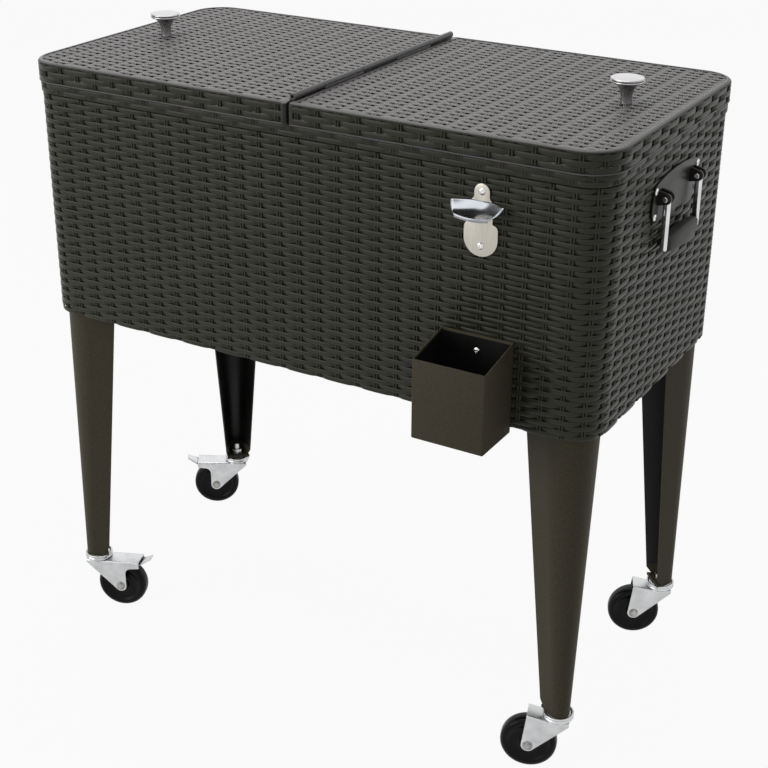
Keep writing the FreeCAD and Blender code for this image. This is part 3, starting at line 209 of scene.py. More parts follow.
# %% [markdown]
# Before any piece is modelled, a few hand tools are written down: clear the selection, start from a
# primitive, go into edit mode, pick verts, edges or faces by where they are, apply a modifier, and put
# a finished piece on its body. Most pieces below need only these, a few more of their kind, and
# Blender's own operators.

# %% Hand tools for modelling


def clear():
    """Leave edit mode and deselect everything."""
    if bpy.context.object and bpy.context.object.mode == "EDIT":
        bpy.ops.object.mode_set(mode="OBJECT")
    bpy.ops.object.select_all(action="DESELECT")


def take(piece):
    """Make one piece the only selected one."""
    clear()
    bpy.context.view_layer.objects.active = piece
    piece.select_set(True)
    return piece


def settle(piece):
    """Put the piece's place, turn and size into its mesh."""
    take(piece)
    bpy.ops.object.transform_apply(location=True, rotation=True, scale=True)
    return piece


def started(name):
    piece = bpy.context.object
    piece.name = name
    piece.data.name = name
    return settle(piece)


def block(name, low, high):
    """A box primitive between two corners."""
    clear()
    low, high = Vector(low), Vector(high)
    bpy.ops.mesh.primitive_cube_add(size=1, location=(low + high) / 2)
    bpy.context.object.scale = high - low
    return started(name)


def edit(piece):
    take(piece)
    bpy.ops.object.mode_set(mode="EDIT")
    bpy.ops.mesh.select_mode(type="VERT")
    bpy.ops.mesh.select_all(action="DESELECT")


def pick(piece, kind, test):
    """In edit mode, select the verts, edges or faces whose middle (and run or normal) pass the test."""
    bpy.ops.mesh.select_mode(type=kind)
    bpy.ops.mesh.select_all(action="DESELECT")
    mesh = bmesh.from_edit_mesh(piece.data)
    mesh.normal_update()
    if kind == "VERT":
        picked = [v for v in mesh.verts if test(v.co)]
    elif kind == "EDGE":
        picked = [e for e in mesh.edges
                  if test((e.verts[0].co + e.verts[1].co) / 2, e.verts[1].co - e.verts[0].co)]
    else:
        picked = [f for f in mesh.faces if test(f.calc_center_median(), f.normal)]
    for element in picked:
        element.select_set(True)
    mesh.select_flush_mode()
    bmesh.update_edit_mesh(piece.data)


def pick_all():
    bpy.ops.mesh.select_all(action="SELECT")


def push(step):
    """Extrude what is selected by a step."""
    bpy.ops.mesh.extrude_region_move(TRANSFORM_OT_translate={"value": step})


def apply_modifier(piece, kind, **settings):
    take(piece)
    modifier = piece.modifiers.new(kind.lower(), kind)
    for setting, value in settings.items():
        setattr(modifier, setting, value)
    bpy.ops.object.modifier_apply(modifier=modifier.name)
    return piece


def clean(piece, gap=0.01 * MM):
    """Merge doubles and turn all faces outwards."""
    edit(piece)
    pick_all()
    bpy.ops.mesh.remove_doubles(threshold=gap)
    bpy.ops.mesh.normals_make_consistent(inside=False)
    clear()
    return piece


def copy_of(piece, name):
    """A copy with a mesh of its own."""
    take(piece)
    bpy.ops.object.duplicate(linked=False)
    twin = bpy.context.object
    twin.name = name
    twin.data.name = name
    return twin


def join(pieces):
    take(pieces[0])
    for piece in pieces[1:]:
        piece.select_set(True)
    bpy.ops.object.join()
    return pieces[0]


def smooth(piece, degrees=35):
    take(piece)
    bpy.ops.object.shade_smooth_by_angle(angle=math.radians(degrees))
    return piece


def fit(piece, body, slot, finish, *nodes):
    """The finished piece gets its material, rides its body and stands for its solids."""
    settle(piece)
    piece.data.materials.clear()
    piece.data.materials.append(finish)
    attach(piece, body)
    if nodes:
        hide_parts(*nodes)
    print(piece.name, len(piece.data.polygons), "faces on", body)
    return piece


print("hand tools ready")

# %% [markdown]
# Most of the finishes are moulded or coated, and share two effects. Fine grain is the pebbled skin of
# a moulding or a powder coat. Streaks are the lines that run along an extruded strand or a brushed
# sheet. Each is a node group that puts out plain values, which every finish can use for its tone and
# its height at a scale of its own.

# %% Shader groups


def new_group(name, inputs, outputs):
    group = bpy.data.node_groups.new(name, "ShaderNodeTree")
    for label, kind, value in inputs:
        socket = group.interface.new_socket(label, in_out="INPUT", socket_type=kind)
        socket.default_value = value
    for label, kind in outputs:
        group.interface.new_socket(label, in_out="OUTPUT", socket_type=kind)
    entry = group.nodes.new("NodeGroupInput")
    result = group.nodes.new("NodeGroupOutput")
    return group, entry, result


def make_grain_group():
    group, entry, result = new_group(
        "fine_grain",
        [("Grain Scale", "NodeSocketFloat", 900.0), ("Patch Scale", "NodeSocketFloat", 9.0)],
        [("Height", "NodeSocketFloat"), ("Patch", "NodeSocketFloat")],
    )
    place = add_node(group, "ShaderNodeTexCoord")
    for scale, detail, put_out in (("Grain Scale", 3, "Height"), ("Patch Scale", 4, "Patch")):
        noise = add_node(group, "ShaderNodeTexNoise", {"Detail": detail})
        group.links.new(place.outputs["Object"], noise.inputs["Vector"])
        group.links.new(entry.outputs[scale], noise.inputs["Scale"])
        group.links.new(noise.outputs["Fac"], result.inputs[put_out])
    return group


def make_streak_group():
    group, entry, result = new_group(
        "streaks",
        [("Stretch", "NodeSocketVector", (1.0, 1.0, 1.0)), ("Scale", "NodeSocketFloat", 100.0)],
        [("Streak", "NodeSocketFloat")],
    )
    place = add_node(group, "ShaderNodeTexCoord")
    stretch = add_node(group, "ShaderNodeVectorMath", operation="MULTIPLY")
    lines = add_node(group, "ShaderNodeTexNoise", {"Detail": 3})
    group.links.new(place.outputs["Object"], stretch.inputs[0])
    group.links.new(entry.outputs["Stretch"], stretch.inputs[1])
    group.links.new(stretch.outputs[0], lines.inputs["Vector"])
    group.links.new(entry.outputs["Scale"], lines.inputs["Scale"])
    group.links.new(lines.outputs["Fac"], result.inputs["Streak"])
    return group


FINE_GRAIN = make_grain_group()
STREAKS = make_streak_group()
print("groups:", FINE_GRAIN.name, STREAKS.name)

# %% [markdown]
# One function writes a finish: a dark and a light tone that drift over the piece in soft patches, a
# roughness that drifts with them, and a bump from grain or streaks. The patches keep a large plain
# part from looking like one flat colour. A woven finish also gets painted shade where a strand dips:
# the deeper a point lies, the more its colour goes towards near black.

# %% A function for the finishes
TONE_RANGE = (0.32, 0.68)
GLOSS_RANGE = (0.3, 0.7)
STREAK_SHARE = 0.5
# Painted shade in the weave: between these two shares of a strand's depth, the colour goes towards this
# near black.
DIP_SHADE_START = 0.3
DIP_SHADE_FULL = 0.9
PAINTED_DIP_SHADE_COLOUR = (0.003, 0.003, 0.0025, 1)


def make_finish(name, dark, light, rough, metal=0.0, grain=900, patch=9, bump=0.15, depth=0.1,
                stretch=None, streak_scale=60, specular=0.5, dip_shade=0.0):
    finish = bpy.data.materials.new(name)
    finish.use_nodes = True
    tree = finish.node_tree
    link = tree.links.new
    shader = tree.nodes["Principled BSDF"]
    shader.inputs["Metallic"].default_value = metal
    shader.inputs["Specular IOR Level"].default_value = specular
    skin = add_node(tree, "ShaderNodeGroup", {"Grain Scale": grain, "Patch Scale": patch},
                    node_tree=FINE_GRAIN)
    height, drift = skin.outputs["Height"], skin.outputs["Patch"]
    if stretch:
        lines = add_node(tree, "ShaderNodeGroup", {"Stretch": stretch, "Scale": streak_scale},
                         node_tree=STREAKS)
        both = add_node(tree, "ShaderNodeMath", operation="ADD")
        link(height, both.inputs[0])
        link(lines.outputs["Streak"], both.inputs[1])
        height = both.outputs[0]
        patches = add_node(tree, "ShaderNodeMath", {1: 1 - STREAK_SHARE}, operation="MULTIPLY")
        blend = add_node(tree, "ShaderNodeMath", {1: STREAK_SHARE}, operation="MULTIPLY_ADD")
        link(drift, patches.inputs[0])
        link(lines.outputs["Streak"], blend.inputs[0])
        link(patches.outputs[0], blend.inputs[2])
        drift = blend.outputs[0]
    spread = add_node(tree, "ShaderNodeMapRange", {"From Min": TONE_RANGE[0], "From Max": TONE_RANGE[1]})
    tone = add_node(tree, "ShaderNodeMix", data_type="RGBA")
    tone.inputs["A"].default_value = (*dark, 1)
    tone.inputs["B"].default_value = (*light, 1)
    link(drift, spread.inputs["Value"])
    link(spread.outputs["Result"], tone.inputs["Factor"])
    colour = tone.outputs["Result"]
    # Painted shade: the colour is mixed towards near black where the strand lies deep.
    if dip_shade:
        depth_note = add_node(tree, "ShaderNodeAttribute", attribute_name="dip_shade")
        shade = add_node(tree, "ShaderNodeMapRange", {
            "From Min": DIP_SHADE_START, "From Max": DIP_SHADE_FULL, "To Max": dip_shade})
        dip_shaded = add_node(tree, "ShaderNodeMix", data_type="RGBA")
        dip_shaded.inputs["B"].default_value = PAINTED_DIP_SHADE_COLOUR
        link(depth_note.outputs["Fac"], shade.inputs["Value"])
        link(shade.outputs["Result"], dip_shaded.inputs["Factor"])
        link(colour, dip_shaded.inputs["A"])
        colour = dip_shaded.outputs["Result"]
    gloss = add_node(tree, "ShaderNodeMapRange", {
        "From Min": GLOSS_RANGE[0], "From Max": GLOSS_RANGE[1], "To Min": rough[0], "To Max": rough[1]})
    dent = add_node(tree, "ShaderNodeBump", {"Strength": bump, "Distance": depth * MM})
    link(colour, shader.inputs["Base Color"])
    link(drift, gloss.inputs["Value"])
    link(gloss.outputs["Result"], shader.inputs["Roughness"])
    link(height, dent.inputs["Height"])
    link(dent.outputs["Normal"], shader.inputs["Normal"])
    return finish


# The wall's weave gets a little painted shade in its dips, the lid's much more.
WICKER = make_finish("woven_wall", (0.028, 0.0275, 0.018), (0.045, 0.0445, 0.031), (0.3, 0.44),
                     dip_shade=0.1, specular=0.2, patch=26, grain=700, bump=0.2, depth=0.12,
                     stretch=(8, 8, 260), streak_scale=6)
# The lid's weave is the wall's resin made about four times lighter, as painted sheen from the light above.
LID_WICKER_WITH_SHEEN = make_finish("woven_lid", (0.115, 0.109, 0.108), (0.16, 0.153, 0.152), (0.42, 0.56),
                         dip_shade=0.65, specular=0.5, patch=26, grain=700, bump=0.2, depth=0.12,
                         stretch=(8, 260, 8), streak_scale=6)
# The lids' rim is the smooth rim's resin made lighter, as painted sheen from the light above.
LID_RIM_WITH_SHEEN = make_finish("lid_rim_painted_sheen", (0.084, 0.08, 0.079), (0.115, 0.11, 0.109), (0.36, 0.5),
                      specular=0.4, patch=14, grain=800, bump=0.12)
SKIN_RESIN = make_finish("skin_resin", (0.05, 0.0485, 0.038), (0.07, 0.068, 0.054), (0.5, 0.6),
                         specular=0.1, patch=14, grain=800, bump=0.12)
RIM = make_finish("smooth_rim", (0.022, 0.021, 0.0175), (0.034, 0.0325, 0.027), (0.34, 0.46),
                  specular=0.2, patch=14, grain=800, bump=0.12)
print("first finishes:", WICKER.name, LID_WICKER_WITH_SHEEN.name, RIM.name)

# %% [markdown]
# The wall is moulded as a plain weave: flat strands run round the body and dip behind every second
# pair of upright stakes. Painting that as bump would lose the dark slots beside the stakes, so it is
# real geometry. One strand is modelled over two columns, by pushing a flat ring along its way, then
# its neighbour, and two arrays repeat the pair round the body and up the wall.

# %% One cell of the weave
WALL_COLUMNS = 86
WALL_ROWS = 48
STAKE_APART = 1.65 * MM
STAKE_RADIUS = 1.45 * MM
STAKE_RISE = 1.5 * MM
STRAND_ARCH = ((20.0, 0.04), (13.45, 0.15), (10.0, 0.33), (7.4, 0.7), (5.2, 1.0))
STRAND_GAP = 0.25 * MM
CELL_MERGE = 0.02 * MM
RIBBON_SIDES = 8
RIBBON_EDGE = (1, 1.2, 1.16)
WEAVE_SMOOTH = 50


def strand_way(pitch, dip):
    """Along and in: the way of a strand over one stake pair and behind the next."""
    crest, under = 0.5 * pitch, 1.5 * pitch
    fall = [(under - away * MM, dip * share) for away, share in STRAND_ARCH]
    rise = [(under + away * MM, dip * share) for away, share in reversed(STRAND_ARCH[2:])]
    before = [(0, fall[1][1]), (2 * crest - fall[0][0], fall[0][1]), (crest, 0)]
    return before + fall + rise + [(2 * pitch, fall[1][1])]


def ribbon(name, way, width, thickness, height):
    """Push a flat ring along the way. Its slanting points are moved out first, for squarer edges."""
    clear()
    bpy.ops.mesh.primitive_circle_add(
        vertices=RIBBON_SIDES, radius=0.5, rotation=(math.pi / 2, 0, math.pi / 2),
        location=(way[0][0], way[0][1] + thickness / 2, height))
    bpy.context.object.scale = (thickness, width, 1)
    strand = started(name)
    edit(strand)
    middle = way[0][1] + thickness / 2
    pick(strand, "VERT", lambda co: abs(co.y - middle) > 0.3 * thickness
         and abs(co.z - height) > 0.2 * width)
    bpy.ops.transform.resize(value=RIBBON_EDGE, center_override=(way[0][0], middle, height))
    pick_all()
    for here, there in zip(way, way[1:]):
        push((there[0] - here[0], there[1] - here[1], 0))
    clear()
    return strand


def weave_cell(name, pitch, row, dip, thickness):
    """Two strands, one above the other, that dip behind alternate stake pairs."""
    way = strand_way(pitch, dip)
    other = [(2 * pitch - x, y) for x, y in reversed(way)]
    width = row - STRAND_GAP
    lower = ribbon(name, way, width, thickness, row / 2)
    upper = ribbon(name + "_upper", other, width, thickness, row * 1.5)
    return join([lower, upper])


def note_depth_for_dip_shade(sheet, deepest):
    """Note at each point of the strands how deep it lies, as the mask for the finish's painted shade."""
    note = sheet.data.attributes.new("dip_shade", "FLOAT", "POINT")
    note.data.foreach_set("value", [min(max(v.co.y / deepest, 0), 1) for v in sheet.data.vertices])
    return sheet


def repeat(piece, count, step, **merging):
    """Repeat the piece with an Array, each copy a step further."""
    return apply_modifier(piece, "ARRAY", count=count, use_relative_offset=False,
                          use_constant_offset=True, constant_offset_displace=step, **merging)


def woven_sheet(name, columns, rows, pitch, row, depths):
    """A flat sheet of weave: along X from 0, up Z from 0, crests at Y = 0 and hollows behind."""
    dip, thickness, stake_depth = depths
    stake_length = rows * row - STAKE_RISE
    sheet = weave_cell(name, pitch, row, dip, thickness)
    repeat(sheet, columns // 2, (2 * pitch, 0, 0), use_merge_vertices=True, merge_threshold=CELL_MERGE)
    repeat(sheet, rows // 2, (0, 0, 2 * row))
    note_depth_for_dip_shade(sheet, dip + thickness)
    stakes = []
    for side in (-1, 1):
        clear()
        bpy.ops.mesh.primitive_cylinder_add(
            vertices=RIBBON_SIDES, radius=STAKE_RADIUS, depth=stake_length,
            location=(pitch / 2 + side * STAKE_APART, stake_depth, STAKE_RISE + stake_length / 2))
        stakes.append(started(name + "_stake"))
    stakes = repeat(join(stakes), columns, (pitch, 0, 0))
    return join([sheet, stakes])


print("weave:", WALL_COLUMNS, "columns,", WALL_ROWS, "rows")

# %% [markdown]
# The flat sheet is wrapped round the body with a Curve modifier. Its line is a closed rounded
# rectangle that starts behind, half a column from the middle, so that one stake pair stands in the
# middle of the front. The wall is two bands, one above the other, because one would be a heavy mesh.
# The collar under the lids carries two rows more, which stand a little proud of its smooth face.

# %% Woven wall
ARC_HANDLE = 0.5523
STRAND_DIP = 2.1 * MM
STRAND_THICKNESS = 1.3 * MM
STAKE_DEPTH = 1.75 * MM
WALL_WEAVE = (STRAND_DIP, STRAND_THICKNESS, STAKE_DEPTH)
COLLAR_GROOVE = 1.5 * MM
COLLAR_ROWS = 2
COLLAR_ROW = 6.4 * MM
COLLAR_PROUD = 1.2 * MM
LOWER_ROWS = 24
MERGE = 0.15 * MM
LINE_STEPS = 32


def outline_length(length, depth, corner):
    return 2 * (length + depth - 4 * corner) + 2 * math.pi * corner


def round_line(name, length, depth, corner, start):
    """A closed line round the body, from behind, with the body on its left, where +Y then bends."""
    x, y, reach = length / 2, depth / 2, corner * ARC_HANDLE
    in_x, in_y = x - corner, y - corner
    stops = [
        ((-start, y), (0, 0), (0, 0)),
        ((-in_x, y), (0, 0), (-reach, 0)),
        ((-x, in_y), (0, reach), (0, 0)),
        ((-x, -in_y), (0, 0), (0, -reach)),
        ((-in_x, -y), (-reach, 0), (0, 0)),
        ((in_x, -y), (0, 0), (reach, 0)),
        ((x, -in_y), (0, -reach), (0, 0)),
        ((x, in_y), (0, 0), (0, reach)),
        ((in_x, y), (reach, 0), (0, 0)),
    ]
    data = bpy.data.curves.new(name, "CURVE")
    data.dimensions = "3D"
    data.twist_mode = "Z_UP"
    data.resolution_u = LINE_STEPS
    spline = data.splines.new("BEZIER")
    spline.bezier_points.add(len(stops) - 1)
    spline.use_cyclic_u = True
    for point, (place, before, after) in zip(spline.bezier_points, stops):
        point.handle_left_type = "FREE"
        point.handle_right_type = "FREE"
        point.co = (*place, 0)
        point.handle_left = (place[0] + before[0], place[1] + before[1], 0)
        point.handle_right = (place[0] + after[0], place[1] + after[1], 0)
    line = bpy.data.objects.new(name, data)
    bpy.context.scene.collection.objects.link(line)
    return line


def woven_band(name, rows, pitch, row, depths, outline, height):
    """Weave a sheet, bend it round an outline (length, depth, corner), close it and set its height."""
    band = woven_sheet(name, WALL_COLUMNS, rows, pitch, row, depths)
    line = round_line(name + "_line", *outline, pitch / 2)
    apply_modifier(band, "CURVE", object=line, deform_axis="POS_X")
    bpy.data.objects.remove(line)
    clean(band, MERGE)
    band.location = (BODY_X, BODY_Y, height)
    return settle(band)


wall_outline = (BODY_LENGTH, BODY_DEPTH, BODY_CORNER)
wall_pitch = outline_length(*wall_outline) / WALL_COLUMNS
wall_row = (WALL_HEIGHT - COLLAR_GROOVE) / WALL_ROWS
lower_band = woven_band("wicker_wall_lower", LOWER_ROWS, wall_pitch, wall_row, WALL_WEAVE,
                        wall_outline, WALL_LOW.z)
upper_band = woven_band("wicker_wall_upper", WALL_ROWS - LOWER_ROWS, wall_pitch, wall_row, WALL_WEAVE,
                        wall_outline, WALL_LOW.z + LOWER_ROWS * wall_row)
collar_outline = (BODY_LENGTH + 2 * COLLAR_PROUD, BODY_DEPTH + 2 * COLLAR_PROUD, BODY_CORNER)
collar_band = woven_band("collar_band", COLLAR_ROWS, wall_pitch, COLLAR_ROW, WALL_WEAVE,
                         collar_outline, WALL_LOW.z + WALL_HEIGHT)
for band, *nodes in ((lower_band, "outer_shell"), (upper_band,), (collar_band,)):
    fit(smooth(band, WEAVE_SMOOTH), "cooler_body", "wicker_resin", WICKER, *nodes)
print("column pitch", round(wall_pitch / MM, 2), "mm, row", round(wall_row / MM, 2), "mm")

# %% [markdown]
# Behind the strands the moulding is a closed skin, plain and hardly seen, which turns in at the bottom
# as the ledge that carries the base pan. It starts as a block: its upright edges are bevelled to the
# body's round, its top and the middle of its bottom are taken off, and Solidify gives the rest its
# thickness.

# %% Skin behind the weave
SKIN_DEPTH = 4.2 * MM
SKIN_THICKNESS = 0.8 * MM
LEDGE_REACH = 13 * MM
CORNER_STEPS = 14
NEAR = 0.05 * MM

skin = block("shell_skin", WALL_LOW + Vector((SKIN_DEPTH, SKIN_DEPTH, 0)),
             WALL_HIGH - Vector((SKIN_DEPTH, SKIN_DEPTH, 0)))
edit(skin)
pick(skin, "EDGE", lambda middle, run: abs(run.z) > WALL_HEIGHT / 2)
bpy.ops.mesh.bevel(offset=BODY_CORNER - SKIN_DEPTH, segments=CORNER_STEPS, affect="EDGES")
pick(skin, "FACE", lambda middle, normal: normal.z > 0.9)
bpy.ops.mesh.delete(type="FACE")
pick(skin, "FACE", lambda middle, normal: normal.z < -0.9)
bpy.ops.mesh.inset(thickness=LEDGE_REACH)
bpy.ops.mesh.delete(type="FACE")
clear()
apply_modifier(skin, "SOLIDIFY", thickness=SKIN_THICKNESS, offset=-1)
smooth(skin)
fit(skin, "cooler_body", "wicker_resin", SKIN_RESIN)

# %% [markdown]
# Each lid is a shallow moulded cap with a smooth rounded rim. Its top has a pocket and its skirt a
# recess, and the weave lies in both. The cap starts as a block: bevels round the outer corners and the
# top edge, a bisect marks off the strip beside the seam and the lip at the bottom, the pocket is an
# inset that is pushed down, and the recess is pushed in along its normals.

# %% Lid caps
LID_OVERHANG = 3 * MM
LID_CORNER = 45 * MM
LID_HEIGHT = 26.5 * MM
SEAM_HALF = 2 * MM
SEAM_STRIP = 5 * MM
RIM_ROUND = 4.5 * MM
RIM_STEPS = 4
RIM_FLAT = 2.0 * MM
POCKET_DEPTH = 3.6 * MM
LIP_HEIGHT = 1.6 * MM
CAP_WALL = 2.2 * MM
EDGE_ROUND = 0.4 * MM
EDGE_SHARP = math.radians(40)
LID_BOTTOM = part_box("lid_shell_left")[0].z
LID_TOP = LID_BOTTOM + LID_HEIGHT
LID_X = BODY_LENGTH / 2 + LID_OVERHANG
LID_Y = BODY_DEPTH / 2 + LID_OVERHANG
RECESS_TOP = LID_TOP - RIM_ROUND * (1 - math.sin(math.pi / 2 / RIM_STEPS))


def lid_cap(name, side):
    seam = BODY_X + side * SEAM_HALF
    outer = BODY_X + side * LID_X
    low = (min(seam, outer), BODY_Y - LID_Y, LID_BOTTOM)
    high = (max(seam, outer), BODY_Y + LID_Y, LID_TOP)
    cap = block(name, low, high)
    edit(cap)
    pick(cap, "EDGE", lambda middle, run: abs(run.z) > LID_HEIGHT / 2 and abs(middle.x - outer) < NEAR)
    bpy.ops.mesh.bevel(offset=LID_CORNER, segments=CORNER_STEPS, affect="EDGES")
    pick(cap, "EDGE", lambda middle, run: middle.z > LID_TOP - NEAR and abs(middle.x - seam) > NEAR)
    bpy.ops.mesh.bevel(offset=RIM_ROUND, segments=RIM_STEPS, affect="EDGES")
    for place, normal in (((seam + side * SEAM_STRIP, 0, 0), (1, 0, 0)),
                          ((0, 0, LID_BOTTOM + LIP_HEIGHT), (0, 0, 1))):
        pick_all()
        bpy.ops.mesh.bisect(plane_co=place, plane_no=normal)
    pick(cap, "FACE", lambda middle, normal: normal.z > 0.99 and middle.z > LID_TOP - NEAR
         and (middle.x - seam) * side > SEAM_STRIP)
    bpy.ops.mesh.inset(thickness=RIM_FLAT)
    push((0, 0, -POCKET_DEPTH))
    pick(cap, "FACE", lambda middle, normal: abs(normal.z) < 0.2 and (middle.x - seam) * side > SEAM_STRIP
         and LID_BOTTOM + LIP_HEIGHT < middle.z < RECESS_TOP)
    bpy.ops.mesh.extrude_region_shrink_fatten(TRANSFORM_OT_shrink_fatten={"value": -POCKET_DEPTH})
    pick(cap, "FACE", lambda middle, normal: normal.z < -0.99 and middle.z < LID_BOTTOM + NEAR)
    bpy.ops.mesh.delete(type="FACE")
    clear()
    apply_modifier(cap, "SOLIDIFY", thickness=CAP_WALL, offset=-1)
    apply_modifier(cap, "BEVEL", width=EDGE_ROUND, segments=2, limit_method="ANGLE",
                   angle_limit=EDGE_SHARP)
    return smooth(cap)


SIDES = {-1: "left", 1: "right"}
lid_caps = {side: lid_cap("lid_cap_" + word, side) for side, word in SIDES.items()}
print("lids:", round(2 * LID_X / MM), "x", round(2 * LID_Y / MM), "mm, top at", round(LID_TOP / MM, 1))

# %% [markdown]
# The woven field of a lid is the same sheet laid flat, with its strands along the cooler. It is made
# larger than the pocket and cut back with bisect, once along each straight side and a few times round
# each corner, so that every strand ends inside the rim. The skirt is a band of three rows and the
# stakes' tops round both lids, cut at the seam.

# %% Woven lid tops and skirts
LID_DIP = 2.2 * MM
LID_STRAND = 1.0 * MM
LID_STAKE_DEPTH = 1.7 * MM
LID_WEAVE = (LID_DIP, LID_STRAND, LID_STAKE_DEPTH)
LID_ROW = 6.5 * MM
FIELD_COLUMNS = 16
FIELD_ROWS = 62
FIELD_DROP = 0.5 * MM
END_TUCK = 1.0 * MM
SKIRT_ROWS = 3
STAKE_TOPS = 1.2 * MM
CORNER_CUTS = 6


def cut_away(piece, place, normal):
    """Bisect the piece and drop what lies on the normal's side."""
    edit(piece)
    pick_all()
    bpy.ops.mesh.bisect(plane_co=place, plane_no=normal, use_fill=True, clear_outer=True)
    clear()


def lid_field(name, side):
    field = woven_sheet(name, FIELD_COLUMNS, FIELD_ROWS, wall_pitch, LID_ROW, LID_WEAVE)
    field.rotation_euler = (-math.pi / 2, 0, 0)
    first = -wall_pitch / 2 if side > 0 else -(FIELD_COLUMNS - 0.5) * wall_pitch
    field.location = (BODY_X + first, BODY_Y - FIELD_ROWS / 2 * LID_ROW, LID_TOP - FIELD_DROP)
    clean(settle(field), MERGE / 10)
    reach_x = LID_X - RIM_ROUND - RIM_FLAT + END_TUCK
    reach_y = LID_Y - RIM_ROUND - RIM_FLAT + END_TUCK
    inside = SEAM_HALF + SEAM_STRIP - END_TUCK / 2
    cut_away(field, (BODY_X + side * inside, 0, 0), (-side, 0, 0))
    cut_away(field, (BODY_X + side * reach_x, 0, 0), (side, 0, 0))
    turn = LID_CORNER - RIM_ROUND - RIM_FLAT + END_TUCK
    for front in (-1, 1):
        cut_away(field, (0, BODY_Y + front * reach_y, 0), (0, front, 0))
        middle = Vector((BODY_X + side * (LID_X - LID_CORNER), BODY_Y + front * (LID_Y - LID_CORNER), 0))
        for step in range(1, CORNER_CUTS):
            angle = math.pi / 2 * step / CORNER_CUTS
            way = Vector((side * math.cos(angle), front * math.sin(angle), 0))
            cut_away(field, middle + way * turn, way)
    return field


skirt_low = LID_BOTTOM + LIP_HEIGHT + NEAR
skirt_row = (RECESS_TOP - skirt_low - STAKE_TOPS) / SKIRT_ROWS
skirt_outline = (2 * LID_X, 2 * LID_Y, LID_CORNER)
skirt_pitch = outline_length(*skirt_outline) / WALL_COLUMNS
band = woven_band("lid_skirt", SKIRT_ROWS + 1, skirt_pitch, skirt_row, LID_WEAVE, skirt_outline, skirt_low)
cut_away(band, (0, 0, RECESS_TOP - NEAR), (0, 0, 1))
for side, word in SIDES.items():
    skirt = copy_of(band, "lid_skirt_" + word)
    cut_away(skirt, (BODY_X + side * (SEAM_HALF + SEAM_STRIP), 0, 0), (-side, 0, 0))
    fit(smooth(clean(skirt), WEAVE_SMOOTH), "lid_" + word, "wicker_resin", WICKER)
    field = lid_field("lid_weave_" + word, side)
    fit(smooth(clean(field), WEAVE_SMOOTH), "lid_" + word, "wicker_resin", LID_WICKER_WITH_SHEEN)
bpy.data.objects.remove(band)

# %% [markdown]
# The other pieces need a few more hand tools. A turned piece is a disc or ring that is pushed up and
# scaled step by step. A plate is an outline drawn point by point from a single vertex, then filled and
# pushed to its thickness. From here on, places are given in millimetres from the middle of the body,
# at the floor.

# %% Tools for turned pieces and plates


def turned(name, profile, sides=48, bored=False):
    """Turn a profile of (radius, height) about Z. A bored one closes on its first point."""
    clear()
    radius, height = profile[0]
    bpy.ops.mesh.primitive_circle_add(vertices=sides, radius=radius * MM, location=(0, 0, height * MM),
                                      fill_type="NOTHING" if bored else "NGON")
    piece = started(name)
    edit(piece)
    pick_all()
    steps = profile[1:] + (profile[:1] if bored else [])
    for there_radius, there_height in steps:
        push((0, 0, (there_height - height) * MM))
        grow = there_radius / radius
        bpy.ops.transform.resize(value=(grow, grow, 1), center_override=(0, 0, there_height * MM))
        radius, height = there_radius, there_height
    clear()
    return clean(piece)


def one_point(name, place):
    """Start a piece as a single vertex at a place in millimetres. Stays in edit mode."""
    clear()
    bpy.ops.mesh.primitive_plane_add(size=MM, location=Vector(place) * MM)
    piece = started(name)
    edit(piece)
    pick_all()
    bpy.ops.mesh.merge(type="CENTER")
    return piece


def draw_on(points):
    """Extrude the selected vertex from the first point to each of the next, in millimetres."""
    for here, there in zip(points, points[1:]):
        push((Vector(there) - Vector(here)) * MM)


def plate(name, points, near, far):
    """A plate with the outline of (x, z) points, from near to far along Y."""
    outline = [(x, 0, z) for x, z in points]
    piece = one_point(name, outline[0])
    draw_on(outline)
    pick_all()
    bpy.ops.mesh.edge_face_add()
    bpy.ops.transform.translate(value=(0, near * MM, 0))
    push((0, (far - near) * MM, 0))
    clear()
    return clean(piece)


def arc(x, z, radius, start, end, steps=8):
    """Points on an arc, from one angle to the other in degrees."""
    angles = [math.radians(start + (end - start) * step / steps) for step in range(steps + 1)]
    return [(x + radius * math.cos(angle), z + radius * math.sin(angle)) for angle in angles]


def eased(piece, width, segments=2, degrees=35):
    """Round the sharp edges."""
    apply_modifier(piece, "BEVEL", width=width * MM, segments=segments, limit_method="ANGLE",
                   angle_limit=math.radians(degrees))
    return smooth(piece)


def placed(piece, place=(0, 0, 0), turn=(0, 0, 0)):
    """Turn the piece, in degrees, and set it at a place in millimetres from the middle of the body."""
    piece.rotation_euler = [math.radians(angle) for angle in turn]
    piece.location = (BODY_X + place[0] * MM, BODY_Y + place[1] * MM, place[2] * MM)
    return settle(piece)


print("turned and drawn tools ready")

# %% [markdown]
# The hinge runs right across the top as one tube. Its outer knuckles belong to the left lid and
# the next two to the right lid, with hairline gaps between them. Each sits on a narrow leaf on its lid.
# The left lid also carries an upright bead at the front and back that covers the seam. The rim, knuckles,
# leaves and beads get the lids' rim finish, lightened as painted sheen, and the pocket and the recess of
# each cap, behind the weave, get the darker plain rim finish.

# %% Hinge knuckles, leaves and beads
HINGE_Z = LID_TOP / MM + 4.5
KNUCKLES = {-1: (128.2, 192.0), 1: (40.2, 127.8)}
KNUCKLE_RADIUS = 4.0
KNUCKLE_BORE = 2.05
KNUCKLE_EDGE = 0.4
LEAF_NEAR, LEAF_FAR, LEAF_TOP = 2.0, 4.4, HINGE_Z - 1.2
LEAF_SUNK, LEAF_ROUND = 0.6, 0.8
BEAD_X, BEAD_Y = -6.0, 200.5


